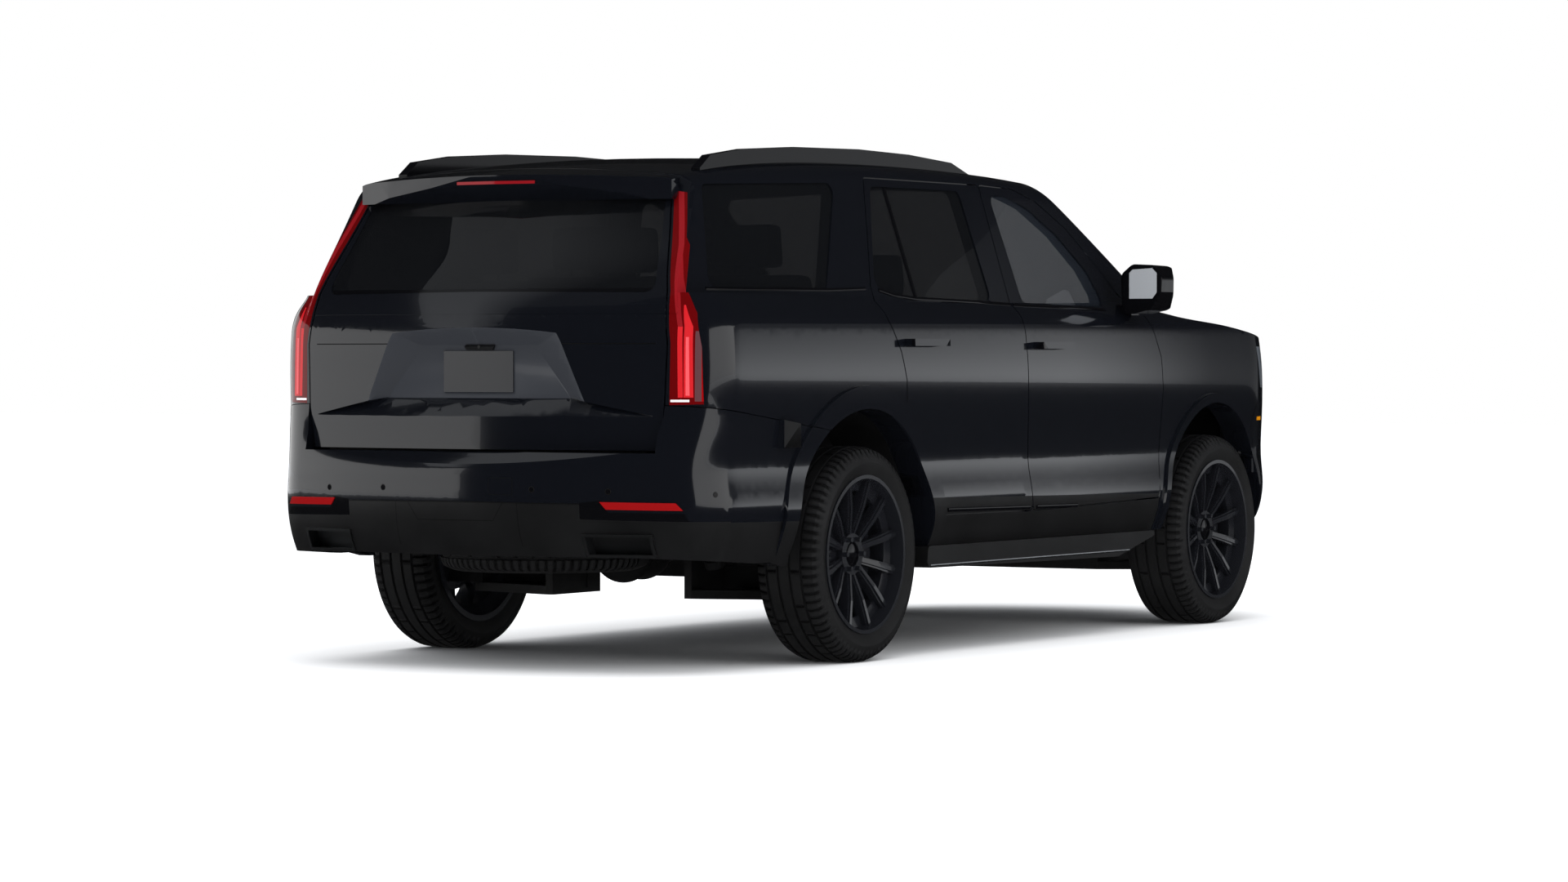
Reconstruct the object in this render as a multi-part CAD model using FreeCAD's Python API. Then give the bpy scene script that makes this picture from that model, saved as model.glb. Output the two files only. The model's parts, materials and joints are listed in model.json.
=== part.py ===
import FreeCAD, Part
import math
import os
from FreeCAD import Vector as V

# Full-size seven-seat off-road estate car.
# Axes: +X to the car's left, front towards -Y, +Z up.
# Origin: on the ground under the middle of the car's box.

os.makedirs("parts", exist_ok=True)

# ---- driving sizes, mm -------------------------------------------------
length = 5382.0
body_width = 2060.0
height = 1948.0
wheelbase = 3071.0
front_overhang = 1031.0
track = 1740.0

shell_wall = 105.0          # doors, quarters and fenders, skin to inner trim
roof_wall = 52.0            # roof, pillars and window frames
bumper_wall = 48.0
nose_wall = 45.0           # bonnet, front bumper and headlamps
skin_flange = 20.0          # thickness of the outer flange round doors
frame_flange = 13.0
door_inset = 24.0           # inner part of a door behind its flange
panel_gap = 6.0
glass_gap = 0.3
seat_gap = 0.3
glass_wall = 5.0
glass_inset = 5.0
flare_rise = 11.0
flare_root = 2.0
front_flare_radius = 545.0
overrun = 400.0

arch_radius = 505.0
flare_radius = 600.0
arch_centre_height = 445.0
liner_wall = 4.0
arch_depth = 470.0          # from the body side to the arch's inner wall

tyre_radius = 405.0
tyre_width = 275.0
tread_width = 232.0
bead_radius = 284.0
bead_width = 236.0
sidewall_wall = 14.0
tread_wall = 22.0
rim_radius = 298.0
rim_wall = 8.0
rim_well_radius = 246.0
hub_radius = 78.0
hub_hole_radius = 47.0
spoke_pairs = 6
spoke_root_radius = 52.0
spoke_root_width = 25.0
spoke_end_width = 35.0
spoke_ridge_share = 0.45
spoke_ridge_rise = 7.0
spoke_depth = 34.0
spoke_root_lean = 7.0       # degrees either side of a pair's middle at the hub
spoke_end_lean = 15.5       # and at the rim
spoke_dish = 26.0
spoke_hollow = 34.0         # how far the hub end lies inboard of the rim end
brake_radius = 177.0
brake_wall = 32.0
kingpin_inset = 120.0       # steering axis inboard of the wheel's middle plane


# hinges and joints between panels
hinge_in_x = 915.0
hinge_wall = 36.0
hinge_length = 46.0
hinge_height = 60.0
hinge_low = 730.0
hinge_pitch = 250.0
gate_hinge_x = 330.0
gate_hinge_z = 1795.0
gate_hinge_wall = 26.0
hood_hinge_x = 500.0
hood_hinge_z = 1330.0
hood_hinge_wall = 18.0
nose_lip_x = 925.0
nose_lip_z = 640.0
tail_lip_x = 925.0
tail_lip_y = 1900.0

# door handles: a strap that stands off the skin on two feet
handle_reach = 46.0
handle_clear = 30.0
handle_height = 27.0
handle_foot = 34.0
handle_root = 2.0

# running gear
shoulder_drop_share = 0.03
well_share = 0.62
hub_face_x = 8.0
hub_cap_depth = 12.0
knuckle_wall = 62.0
lower_joint_z = 262.0
upper_joint_z = 560.0
joint_gap = 0.3
spindle_radius = 48.0
caliper_wall = 44.0
caliper_length = 210.0
caliper_root_share = 0.6
caliper_arm_share = 0.7
arm_wall = 34.0
arm_tip = 34.0
front_arm_spread = 190.0
upper_arm_share = 0.6
rear_arm_root_x = 330.0
cradle_wall = 90.0
rear_arm_spread = 170.0
shaft_radius = 26.0
diff_radius = 118.0
diff_nose = 260.0
diff_root_share = 0.8
diff_nose_share = 0.35

# chassis
rail_centre_x = 470.0
rail_width = 84.0
rail_height = 140.0
rail_wall = 8.0
member_width = 90.0
member_height = 96.0
floor_wall = 16.0
rear_house_x = 640.0
front_house_x = 516.0
house_low = 440.0
board_in_x = 884.0
board_out_x = 1002.0
board_corner = 14.0
roof_rail_x = 652.0
roof_rail_width = 38.0
engine_width = 560.0
engine_length = 620.0
engine_low = 420.0
engine_height = 560.0
tank_clearance = 0.3
tank_y = 160.0
tank_length = 640.0
tank_low = 270.0
tank_height = 100.0
spare_radius = 390.0
spare_round_share = 0.45
exhaust_x = 640.0
pipe_radius = 32.0
pipe_front = 1990.0
pipe_back = 2500.0
pipe_z = 470.0
tip_in_x = 509.0
tip_out_x = 760.0
tip_proud = 6.0
tip_low = 425.0
tip_height = 85.0
tip_wall = 11.0
tip_pocket = 34.0

# cabin
dash_half = 830.0
dash_corner = 30.0
console_width = 250.0
console_front = -700.0
console_back = 60.0
console_top = 760.0
seat_x = 400.0
steer_radius = 185.0
steer_rim_radius = 15.0
steer_column_radius = 32.0
steer_column_length = 260.0
steer_tilt = 24.0
steer_y = -360.0
steer_z = 1060.0
cushion_length = 500.0
cushion_drop = 40.0
cushion_wall = 130.0
back_wall = 130.0
back_drop = 110.0
back_foot_share = 1.2
post_radius = 6.0
back_lean_share = 0.36
back_height = 560.0
third_back_height = 470.0
headrest_gap = 24.0
headrest_height = 170.0
headrest_half = 130.0
headrest_spread_share = 0.6
headrest_foot_share = 0.05
headrest_lean_share = 0.15
headrest_corner_share = 0.6
seat_corner = 45.0
seat_base_share = 0.7
base_back_share = 0.38
base_front_share = 0.85
front_seat_y = 60.0
front_seat_z = 800.0
front_seat_half = 255.0
second_seat_y = 960.0
second_seat_z = 900.0
bench_half = 620.0
third_seat_y = 1790.0
third_seat_z = 960.0
third_half = 520.0

# mirrors and grille
mirror_back = -700.0
mirror_corner = 40.0
mirror_foot_x = 940.0
mirror_foot_out = 1010.0
mirror_foot_y0 = -860.0
mirror_foot_y1 = -790.0
mirror_foot_z0 = 1318.0
mirror_foot_z1 = 1360.0
grille_bars = 7
grille_bar_wall = 22.0
grille_inset = 12.0
grille_depth = 34.0
grille_frame = 26.0

half_length = length/2
half_width = body_width/2
front_axle_y = -half_length + front_overhang
rear_axle_y = front_axle_y + wheelbase
wheel_x = track/2

# ---- outline tables, as shares of half_width, half_length and height ---
# lower body, level by level: z, half width, rear middle y, front middle y
level_shares = [
    (0.1694, 0.9340, 0.9535, -0.9550), (0.2464, 0.9689, 0.9588, -0.9855), (0.3060, 0.9845, 0.9610, -0.9996),
    (0.3388, 0.9777, 0.9617, -1.0000), (0.3799, 0.9709, 0.9617, -1.0000), (0.4363, 0.9767, 0.9610, -0.9989),
    (0.5133, 0.9864, 0.9602, -0.9944), (0.5749, 0.9893, 0.9595, -0.9855), (0.6324, 0.9845, 0.9580, -0.9706),
    (0.6597, 0.9748, 0.9543, -0.9588), (0.6828, 0.9476, 0.9483, -0.9439), (0.7059, 0.9087, 0.9424, -0.9253)]
# rear bumper: z, half width, rear middle y, sag of the rear arc
bumper_level_shares = [
    (0.1951, 0.9456, 0.9625, 0.0446), (0.2207, 0.9583, 0.9781, 0.0491), (0.2669, 0.9757, 0.9944, 0.0528),
    (0.3208, 0.9816, 1.0000, 0.0543), (0.3799, 0.9709, 0.9981, 0.0528), (0.4363, 0.9767, 0.9810, 0.0438),
    (0.4938, 0.9835, 0.9625, 0.0349), (0.5185, 0.9864, 0.9602, 0.0342)]
side_taper_share = 0.0427
rear_sag_share = 0.0342
front_sag_share = 0.0453
rear_corner_x_share = 0.7670
rear_corner_y_share = 0.8510
front_corner_x_share = 0.6214
front_corner_y_share = -0.7469

# cabin, station by station: y, half width at the belt, roof height
station_shares = [
    (-0.5574, 0.8544, 0.8994), (-0.3716, 0.9078, 0.9353), (-0.1858, 0.9262, 0.9630), (0.0000, 0.9340, 0.9779),
    (0.1858, 0.9350, 0.9841), (0.3716, 0.9320, 0.9841), (0.5574, 0.9165, 0.9774), (0.7246, 0.8777, 0.9620),
    (0.8547, 0.8233, 0.9394), (1.0033, 0.7476, 0.9076)]
cabin_base_share = 0.6674
cabin_lean_share = 0.256
cabin_edge_drop_share = 0.0539
roof_edge_drop_share = 0.0169
roof_edge_in_share = 0.1049

# middle profiles of the windscreen, the back and the bonnet: y, z
screen_shares = [(-0.5797, 0.6324), (-0.4942, 0.7023), (-0.4069, 0.7716), (-0.3270, 0.8316), (-0.2527, 0.8866), (-0.1784, 0.9374), (-0.0557, 1.0164)]
screen_curve_share = 0.235
back_shares = [(0.9736, 0.5647), (0.9591, 0.6324), (0.9424, 0.7089), (0.9004, 0.8049), (0.8584, 0.9009), (0.8287, 0.9728), (0.8064, 1.0267)]
back_curve_share = -0.152
deck_shares = [(-1.0256, 0.5801), (-0.9736, 0.6191), (-0.8919, 0.6478), (-0.7804, 0.6735), (-0.6317, 0.6961), (-0.4831, 0.7115), (-0.3344, 0.7187)]
deck_curve_share = -0.075

# side view outlines: y, z
front_door_shares = [
    (-0.4006, 0.2854), (-0.4088, 0.3717), (-0.4125, 0.5190), (-0.4032, 0.5883), (-0.3820, 0.6381), (-0.3679, 0.6674), (-0.3575, 0.6930), (-0.3159, 0.7207),
    (-0.2564, 0.7844), (-0.1784, 0.8583), (-0.0929, 0.9122), (-0.0223, 0.9353), (0.0806, 0.9384), (0.0353, 0.2741)]
rear_door_shares = [
    (0.0353, 0.2741), (0.0806, 0.9384), (0.4214, 0.9384),
    (0.4459, 0.8214), (0.4679, 0.7233), (0.4645, 0.6879), (0.4608, 0.6571), (0.4329, 0.5986), (0.4169, 0.5421), (0.4125, 0.4620),
    (0.4125, 0.2762)]
front_window_shares = [
    (-0.2601, 0.6930), (-0.2174, 0.7700), (-0.1431, 0.8419), (-0.0632, 0.8943), (-0.0041, 0.9158), (0.0539, 0.9189), (0.0230, 0.6992)]
rear_window_shares = [(0.1197, 0.7012), (0.1468, 0.9230), (0.4080, 0.9215), (0.4556, 0.7315), (0.4329, 0.7146), (0.3493, 0.7043)]
quarter_window_shares = [(0.5834, 0.7166), (0.5039, 0.9240), (0.8138, 0.9097), (0.8443, 0.7166)]
rocker_shares = [(-0.4013, 0.2156), (-0.4013, 0.2839), (0.2991, 0.2628), (0.3270, 0.2156)]
split_shares = [(0.6132, 0.4456), (0.6284, 0.4482), (0.7808, 0.4738), (0.9019, 0.4933), (0.9513, 0.5010)]
bumper_low_shares = [(0.6689, 0.1797), (0.7581, 0.2038), (0.7967, 0.2038), (0.9513, 0.2182)]
front_seam_shares = [(-0.7729, 0.1848), (-0.7729, 0.4415), (-0.8175, 0.5195)]
lamp_side_shares = [(-0.7908, 0.6119), (-0.8175, 0.5195), (-1.0405, 0.5133), (-1.0405, 0.5903), (-0.8919, 0.6109)]
screen_opening_shares = [(0.0000, 0.6622), (0.8524, 0.6715), (0.7233, 0.9097), (0.6699, 0.9302), (0.0000, 0.9456)]
nose_shares = [(-0.7729, 0.1540), (-0.7729, 0.4415), (-0.8175, 0.5180), (-0.8658, 0.5180), (-0.8658, 0.5986), (-1.0405, 0.5986), (-1.0405, 0.1540)]
headlamp_in_share = 0.4660
cowl_in_share = 0.8272
roof_plan_shares = [(0.7165, -0.2973), (0.7223, 0.0000), (0.7223, 0.5017), (0.6854, 0.7246), (0.6214, 0.8287), (0.5825, 0.8919)]
roof_rear_share = 0.8309

# end view outlines: x, z
gate_shares = [(0.7301, 0.4138), (0.7553, 0.4774), (0.7650, 0.6119), (0.7417, 0.7089), (0.6330, 0.9076), (0.6330, 1.0216)]
back_window_shares = [(0.0000, 0.7094), (0.7010, 0.7064), (0.6214, 0.8922), (0.0000, 0.8994)]
lamp_front_shares = [(0.9038, 0.4928), (0.9052, 0.6160), (0.8993, 0.6725), (0.8896, 0.7105), (0.8257, 0.9112)]
tail_lamp_shares = [(0.7738, 0.4990), (0.7767, 0.6119), (0.7534, 0.7089), (0.6485, 0.8973), (0.6990, 0.8932), (0.8078, 0.7089), (0.8544, 0.6674), (0.8757, 0.6057), (0.8816, 0.5005)]
grille_shares = [(0.0000, 0.3388), (0.3204, 0.3388), (0.4272, 0.3901), (0.4563, 0.5441), (0.4388, 0.5826), (0.0000, 0.5893)]
spoiler_shares = [(0.0000, 0.8320), (0.6214, 0.8320), (0.6214, 0.8346), (0.6699, 0.8346), (0.6641, 0.8517), (0.5049, 0.8740), (0.2913, 0.8919), (0.0000, 0.9012)]
spoiler_wing_x = 646.0
spoiler_section_shares = [(0.8175, 1.0267), (0.9142, 1.0267), (0.9142, 0.9168), (0.8919, 0.9076), (0.8621, 0.8809), (0.8175, 0.8809)]
scoop_inner_shares = [(0.0000, 0.6078), (0.2417, 0.6078), (0.3825, 0.5113), (0.0000, 0.5113)]
scoop_outer_shares = [(0.0000, 0.6843), (0.5816, 0.6843), (0.7049, 0.4856), (0.0000, 0.4856)]
scoop_inner_y_share, scoop_outer_y_share = 0.9372, 0.9810
ledge_station_shares = [0.0000, 0.1942, 0.3825, 0.4854, 0.6019, 0.7136]
ledge_top_share, ridge_share, ledge_root_y_share = 0.5123, 0.4779, 0.9379
ledge_reach_share = 0.6
pad_slope_shares = [(0.9216, 0.4107), (0.9569, 0.4107), (1.0108, 0.3809), (1.0108, 0.3706), (0.9569, 0.4004), (0.9216, 0.4004)]
pad_above_shares = [(0.8547, 0.4107), (0.9569, 0.4107), (1.0108, 0.3809), (1.0777, 0.3809), (1.0777, 1.0267), (0.8547, 1.0267)]
hood_plan_shares = [(0.0000, -0.4998), (0.5437, -0.4742), (0.8272, -0.4392), (0.8427, -0.5203), (0.8214, -0.7061), (0.7767, -0.8547), (0.6796, -0.9439), (0.5437, -0.9810), (0.0000, -1.0256)]
hood_low_share = 0.6016
rail_shares = [(-0.9067, 0.2259), (-0.7804, 0.2259), (-0.4831, 0.2772), (-0.3344, 0.1540), (0.2973, 0.1540), (0.4385, 0.2875), (0.6317, 0.2875), (0.7432, 0.2567), (0.9067, 0.2567)]
cross_member_shares = [(-0.8881, 0.2310), (-0.3159, 0.1566), (0.0372, 0.1566), (0.3196, 0.1797), (0.7752, 0.2998), (0.8900, 0.3029)]
floor_shares = [(-0.4913, 0.6905), (-0.4515, 0.5749), (-0.4311, 0.3901), (-0.3716, 0.2721), (-0.3344, 0.2290), (-0.3196, 0.2260), (0.2973, 0.2260), (0.4013, 0.3676), (0.8919, 0.3676)]
board_shares = [(-0.3828, 0.2053), (-0.2564, 0.1653), (0.3456, 0.1725), (0.3530, 0.1848), (0.3493, 0.2155), (-0.3809, 0.2155)]
roof_rail_shares = [(-0.0223, 0.9559), (0.0557, 0.9867), (0.1858, 0.9969), (0.3344, 1.0000), (0.5203, 0.9949), (0.6503, 0.9846), (0.7432, 0.9682), (0.7711, 0.9425)]
dash_shares = [(-0.4051, 0.5441), (-0.3753, 0.5801), (-0.2304, 0.5801), (-0.2081, 0.5441), (-0.2230, 0.4107), (-0.2824, 0.3593), (-0.3567, 0.3593)]
mirror_shares = [(0.9825, 0.6828), (0.9709, 0.7598), (1.0291, 0.7844), (1.1262, 0.7803), (1.1553, 0.7546), (1.1515, 0.7187), (1.1068, 0.6879), (1.0291, 0.6786)]
bumper_pad_x_share = 0.7456
mirror_side_shares = [(-0.2598, 0.6674), (-0.2598, 0.7957), (-0.2843, 0.7921), (-0.3159, 0.7823), (-0.3352, 0.7444), (-0.3337, 0.7043), (-0.3140, 0.6674)]
mirror_plan_shares = [(0.9612, -0.2598), (0.9612, -0.3144), (1.0155, -0.3352), (1.1029, -0.3318), (1.1650, -0.2995), (1.1650, -0.2598)]
handle_place_shares = {"front": (-0.0654, 0.0349, 0.6114), "rear": (0.3218, 0.4221, 0.6160)}   # ends and middle height


# ---- helpers -----------------------------------------------------------
def yz(shares):
    return [(half_length*a, height*b) for a, b in shares]


def xz(shares):
    return [(half_width*a, height*b) for a, b in shares]


def xy(shares):
    return [(half_width*a, half_length*b) for a, b in shares]


corner_reach_share = 0.45


def rounded_wire(points, lift, radius=0.0):
    """Closed outline whose corners carry tangent arcs of at most the radius."""
    n = len(points)
    edges, first, last = [], None, None
    for i in range(n):
        p = V(points[i][0], points[i][1], 0)
        a = V(points[i - 1][0], points[i - 1][1], 0)
        b = V(points[(i + 1) % n][0], points[(i + 1) % n][1], 0)
        u, w = a - p, b - p
        reach = corner_reach_share*min(u.Length, w.Length)
        u.normalize()
        w.normalize()
        turn = math.pi - u.getAngle(w)
        size = min(radius*math.tan(turn/2), reach)
        if radius == 0.0 or turn < math.radians(2.0):
            start = end = p
        else:
            start, end = p + u*size, p + w*size
            r = size/math.tan(turn/2)
            middle = p + (u + w).normalize()*(r/math.cos(turn/2) - r)
        if last is not None:
            edges.append(Part.LineSegment(lift(last.x, last.y), lift(start.x, start.y)).toShape())
        else:
            first = start
        if start is not end:
            edges.append(Part.Arc(lift(start.x, start.y), lift(middle.x, middle.y), lift(end.x, end.y)).toShape())
        last = end
    edges.append(Part.LineSegment(lift(last.x, last.y), lift(first.x, first.y)).toShape())
    return Part.Wire(edges)


def grown(face, gap):
    return face if gap == 0.0 else face.makeOffset2D(gap, 2)


def along_x(points, x0, x1, radius=0.0, gap=0.0):
    face = Part.Face(rounded_wire(points, lambda a, b: V(x0, a, b), radius))
    return grown(face, gap).extrude(V(x1 - x0, 0, 0))


def along_y(points, y0, y1, radius=0.0, gap=0.0):
    face = Part.Face(rounded_wire(points, lambda a, b: V(a, y0, b), radius))
    return grown(face, gap).extrude(V(0, y1 - y0, 0))


def along_z(points, z0, z1, radius=0.0, gap=0.0):
    face = Part.Face(rounded_wire(points, lambda a, b: V(a, b, z0), radius))
    return grown(face, gap).extrude(V(0, 0, z1 - z0))


def box(x0, x1, y0, y1, z0, z1):
    return Part.makeBox(x1 - x0, y1 - y0, z1 - z0, V(x0, y0, z0))


def mirrored(shape):
    return shape.mirror(V(0, 0, 0), V(1, 0, 0))


def cylinder_x(x0, x1, radius, y, z):
    return Part.makeCylinder(radius, x1 - x0, V(x0, y, z), V(1, 0, 0))


def mirror_points(points):
    return points + [(-a, b) for a, b in reversed(points) if a > 0.0]


def solids_of(shape, smallest=0.0):
    return [s for s in shape.Solids if s.Volume > smallest]


def strip(points, wall):
    """Outline of a sheet whose underside follows the points, with mitred corners."""
    upper = []
    n = len(points)
    for i, (a, b) in enumerate(points):
        p, q = points[max(i - 1, 0)], points[min(i + 1, n - 1)]
        first = (a - p[0], b - p[1]) if i > 0 else (q[0] - a, q[1] - b)
        last = (q[0] - a, q[1] - b) if i < n - 1 else first
        u = math.hypot(*first)
        w = math.hypot(*last)
        nx = -first[1]/u - last[1]/w
        ny = first[0]/u + last[0]/w
        scale = 2*wall/(nx*nx + ny*ny)
        upper.append((a + nx*scale, b + ny*scale))
    return points + list(reversed(upper))


def save(name, *shapes):
    found = []
    for shape in shapes:
        found += shape.Solids
    for s in found:
        if not s.isValid():
            print("INVALID", name)
    out = found[0] if len(found) == 1 else Part.makeCompound(found)
    out.exportStep("parts/" + name + ".step")
    kept[name] = out
    print(name, len(found), round(sum(s.Volume for s in found)/1e6, 2), "litres")


def tangent_curve(a, da, b, db, flat):
    """Quadratic curve from a along da to b along db, in the plane that flat picks."""
    (ax, ay), (dx, dy) = flat(a), flat(da)
    (bx, by), (ex, ey) = flat(b), flat(db)
    t = ((bx - ax)*ey - (by - ay)*ex)/(dx*ey - dy*ex)
    curve = Part.BezierCurve()
    curve.setPoles([a, a + da*t, b])
    return curve.toShape()


def start_dir(edge):
    return edge.tangentAt(edge.FirstParameter)


def end_dir(edge):
    return edge.tangentAt(edge.LastParameter)


kept = {}


# ---- body forms ---------------------------------------------------------
def level_wire(z, w, rear, rear_sag, front, front_sag, t):
    """Plan outline of the lower body at height z, moved inward by t."""
    flat = lambda v: (v.x, v.y)
    w, rear, front = w - t, rear - t, front + t
    xr, xf = half_width*rear_corner_x_share - t, half_width*front_corner_x_share - t
    yr, yf = half_length*rear_corner_y_share, half_length*front_corner_y_share
    wr = w - half_width*side_taper_share
    tail = Part.Arc(V(-xr, rear - rear_sag, z), V(0, rear, z), V(xr, rear - rear_sag, z)).toShape()
    left = Part.Arc(V(wr, yr, z), V(w, 0, z), V(wr, yf, z)).toShape()
    nose = Part.Arc(V(xf, front + front_sag, z), V(0, front, z), V(-xf, front + front_sag, z)).toShape()
    right = Part.Arc(V(-wr, yf, z), V(-w, 0, z), V(-wr, yr, z)).toShape()
    ring = [tail, left, nose, right]
    edges = []
    for i, e in enumerate(ring):
        nxt = ring[(i + 1) % len(ring)]
        edges.append(e)
        a, b = e.valueAt(e.LastParameter), nxt.valueAt(nxt.FirstParameter)
        edges.append(tangent_curve(a, end_dir(e), b, start_dir(nxt), flat))
    return Part.Wire(edges)


def lower_form(t):
    wires = []
    for row in level_shares:
        z, w, rear, front = height*row[0], half_width*row[1], half_length*row[2], half_length*row[3]
        wires.append(level_wire(z, w, rear, half_length*rear_sag_share, front, half_length*front_sag_share, t))
    return Part.makeLoft(wires, True, False)


def bumper_form(t):
    wires = []
    for row in bumper_level_shares:
        z, w, rear, sag = height*row[0], half_width*row[1], half_length*row[2], half_length*row[3]
        wires.append(level_wire(z, w, rear, sag, -half_length, half_length*front_sag_share, t))
    return Part.makeLoft(wires, True, False)


def section_wire(y, w, top, t):
    """Cross-section of the cabin at station y, moved inward by t."""
    flat = lambda v: (v.x, v.z)
    w, top = w - t, top - t
    base = height*cabin_base_share
    edge_z = top - height*cabin_edge_drop_share
    edge_x = w - cabin_lean_share*(edge_z - base)
    crown = top - height*roof_edge_drop_share
    crown_x = edge_x - half_width*roof_edge_in_share
    a, b = V(w, y, base), V(edge_x, y, edge_z)
    c, d = V(crown_x, y, crown), V(0, y, top)
    flip = lambda p: V(-p.x, p.y, p.z)
    side = Part.LineSegment(a, b).toShape()
    roof = Part.Arc(c, d, flip(c)).toShape()
    far = Part.LineSegment(flip(b), flip(a)).toShape()
    bottom = Part.LineSegment(flip(a), a).toShape()
    near_corner = tangent_curve(b, b - a, c, start_dir(roof), flat)
    far_corner = tangent_curve(flip(c), end_dir(roof), flip(b), flip(a) - flip(b), flat)
    return Part.Wire([side, near_corner, roof, far_corner, far, bottom])


def cabin_form(t):
    wires = [section_wire(half_length*y, half_width*w, height*top, t) for y, w, top in station_shares]
    return Part.makeLoft(wires, True, False)


slab_points = 9
slab_span_share = 1.15
screen_offset_share = 1.8   # the screen leans, so its wall is measured longer along Y


def slab(profile, curve_share, push, t, lift):
    """Solid behind a surface that carries the profile across the car with a crown."""
    points, span = slab_points, slab_span_share*half_width
    rows = []
    for y, z in profile:
        row = []
        for i in range(points):
            x = span*(2*i/(points - 1) - 1)
            crown = curve_share*x*x/half_width
            row.append(V(x, y + crown + t, z) if lift == "y" else V(x, y, z + crown + t))
        rows.append(row)
    surface = Part.BSplineSurface()
    surface.interpolate(rows)
    solid = surface.toShape().extrude(push)
    return solid if solid.Volume > 0 else solid.reversed()


def rear_slab(t):
    return slab(yz(back_shares), back_curve_share, V(0, -2*length, 0), -t, "y")


def screen_slab(t):
    return slab(yz(screen_shares), screen_curve_share, V(0, 2*length, 0), screen_offset_share*t, "y")


def deck_slab(t):
    return slab(yz(deck_shares), deck_curve_share, V(0, 0, -height), -t, "z")


def cabin(t):
    return cabin_form(t).common(screen_slab(t)).common(rear_slab(t))


left_half = box(0, 2*half_width, -length, length, -height, 2*height)
behind_cowl = box(-2*half_width, 2*half_width, half_length*deck_shares[-1][0], length, 0, 2*height)


def lower(t):
    form = lower_form(t).common(left_half)
    nose = form.common(deck_slab(t))
    tail = form.common(behind_cowl)
    return nose.fuse(tail)


low_out, low_skin, low_in = lower(0.0), lower(skin_flange), lower(shell_wall)
print("lower", low_out.Volume/1e9, low_out.isValid(), low_in.Volume/1e9, low_in.isValid())
cab_out = cabin(0.0).common(left_half)
cab_skin = cabin(frame_flange).common(left_half)
cab_in = cabin(roof_wall).common(left_half)
print("cabin", cab_out.Volume/1e9, cab_out.isValid(), cab_in.Volume/1e9, cab_in.isValid())

outer, skin, inner = low_out.fuse(cab_out), low_skin.fuse(cab_skin), low_in.fuse(cab_in)
flange = outer.cut(skin)
wall = skin.cut(inner)
half_gap = panel_gap/2
rabbet = door_inset - panel_gap

# ---- cutters -------------------------------------------------------------
far_x = half_width + overrun
arch_z = arch_centre_height


def arch_cutter(axle_y, radius, x0):
    return cylinder_x(x0, far_x, radius, axle_y, arch_z)


rear_arch = arch_cutter(rear_axle_y, arch_radius, half_width - arch_depth + shell_wall)
front_arch = arch_cutter(front_axle_y, arch_radius, half_width - arch_depth + shell_wall)

door_names = {"front": front_door_shares, "rear": rear_door_shares}
door_radius = 26.0
window_radius = 34.0


def door_prism(which, gap):
    prism = along_x(yz(door_names[which]), 0, far_x, door_radius, gap)
    if which == "rear":
        prism = prism.cut(cylinder_x(0, far_x, flare_radius - gap, rear_axle_y, arch_z))
    return prism


windows = {"front": front_window_shares, "rear": rear_window_shares, "quarter": quarter_window_shares}


def window_prism(which, gap=0.0):
    return along_x(yz(windows[which]), 0, far_x, window_radius, gap)


glass_band = cabin_form(glass_inset).cut(cabin_form(glass_inset + glass_wall)).common(left_half)

# ---- doors ---------------------------------------------------------------
strap_band = lower_form(-handle_reach).cut(lower_form(-handle_clear)).common(left_half)
foot_band = lower_form(-handle_reach).cut(lower_form(handle_root)).common(left_half)


def handle(which):
    """Strap handle that follows the door's skin, with a foot at each end."""
    y0, y1, z = handle_place_shares[which]
    y0, y1, z = half_length*y0, half_length*y1, height*z
    low, high = z - handle_height/2, z + handle_height/2
    rear_foot = foot_band.common(box(0, far_x, y1 - handle_foot, y1, low, high))
    front_foot = foot_band.common(box(0, far_x, y0, y0 + handle_foot, low, high))
    return strap_band.common(box(0, far_x, y0, y1, low, high)).fuse([front_foot, rear_foot])


# below the windows a door reaches inwards no further than its own trim
under_screen = box(0, half_width - shell_wall - 2*door_inset, -length, length, 0, height*cabin_base_share)

for which in ("front", "rear"):
    leaf = flange.common(door_prism(which, -half_gap))
    core = wall.common(door_prism(which, -door_inset)).cut(under_screen)
    front_y = half_length*min(y for y, z in door_names[which])
    knuckles = box(hinge_in_x, hinge_in_x + hinge_wall, front_y - hinge_length, front_y + 2*hinge_length, hinge_low, hinge_low + hinge_height)
    knuckles = [knuckles, knuckles.translated(V(0, 0, hinge_pitch))]
    knuckles = door_prism(which, -rabbet - seat_gap).common(Part.makeCompound(knuckles))
    door = leaf.fuse([core] + solids_of(knuckles) + solids_of(handle(which))).cut(window_prism(which))
    door = max(solids_of(door), key=lambda s: s.Volume)
    glass = glass_band.common(window_prism(which, -glass_gap))
    save("door_" + which + "_left", door)
    save("door_" + which + "_right", mirrored(door))
    save("glass_" + which + "_left", glass)
    save("glass_" + which + "_right", mirrored(glass))

# ---- body shell ----------------------------------------------------------
open_flange, open_wall = flange, wall
for which in ("front", "rear"):
    open_flange = open_flange.cut(door_prism(which, half_gap))
    open_wall = open_wall.cut(door_prism(which, -rabbet))
shell = open_flange.fuse(open_wall)

split = yz(split_shares)
bumper_ring = split + [(length, split[-1][1]), (length, 0.0), (split[0][0], 0.0)]
rear_of_axle = box(0, far_x, rear_axle_y, length, 0, height)
bumper_room = along_x(bumper_ring, 0, far_x, 0.0, panel_gap/2).common(rear_of_axle)

gate = xz(gate_shares)
gate_front_y = half_length*roof_rear_share
gate_full = gate + [(-x, z) for x, z in reversed(gate)]
gate_prism = along_y(gate_full, gate_front_y, length, 0.0, -half_gap).common(left_half)
gate_room = along_y(gate_full, gate_front_y - panel_gap, length, 0.0, half_gap)

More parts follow.
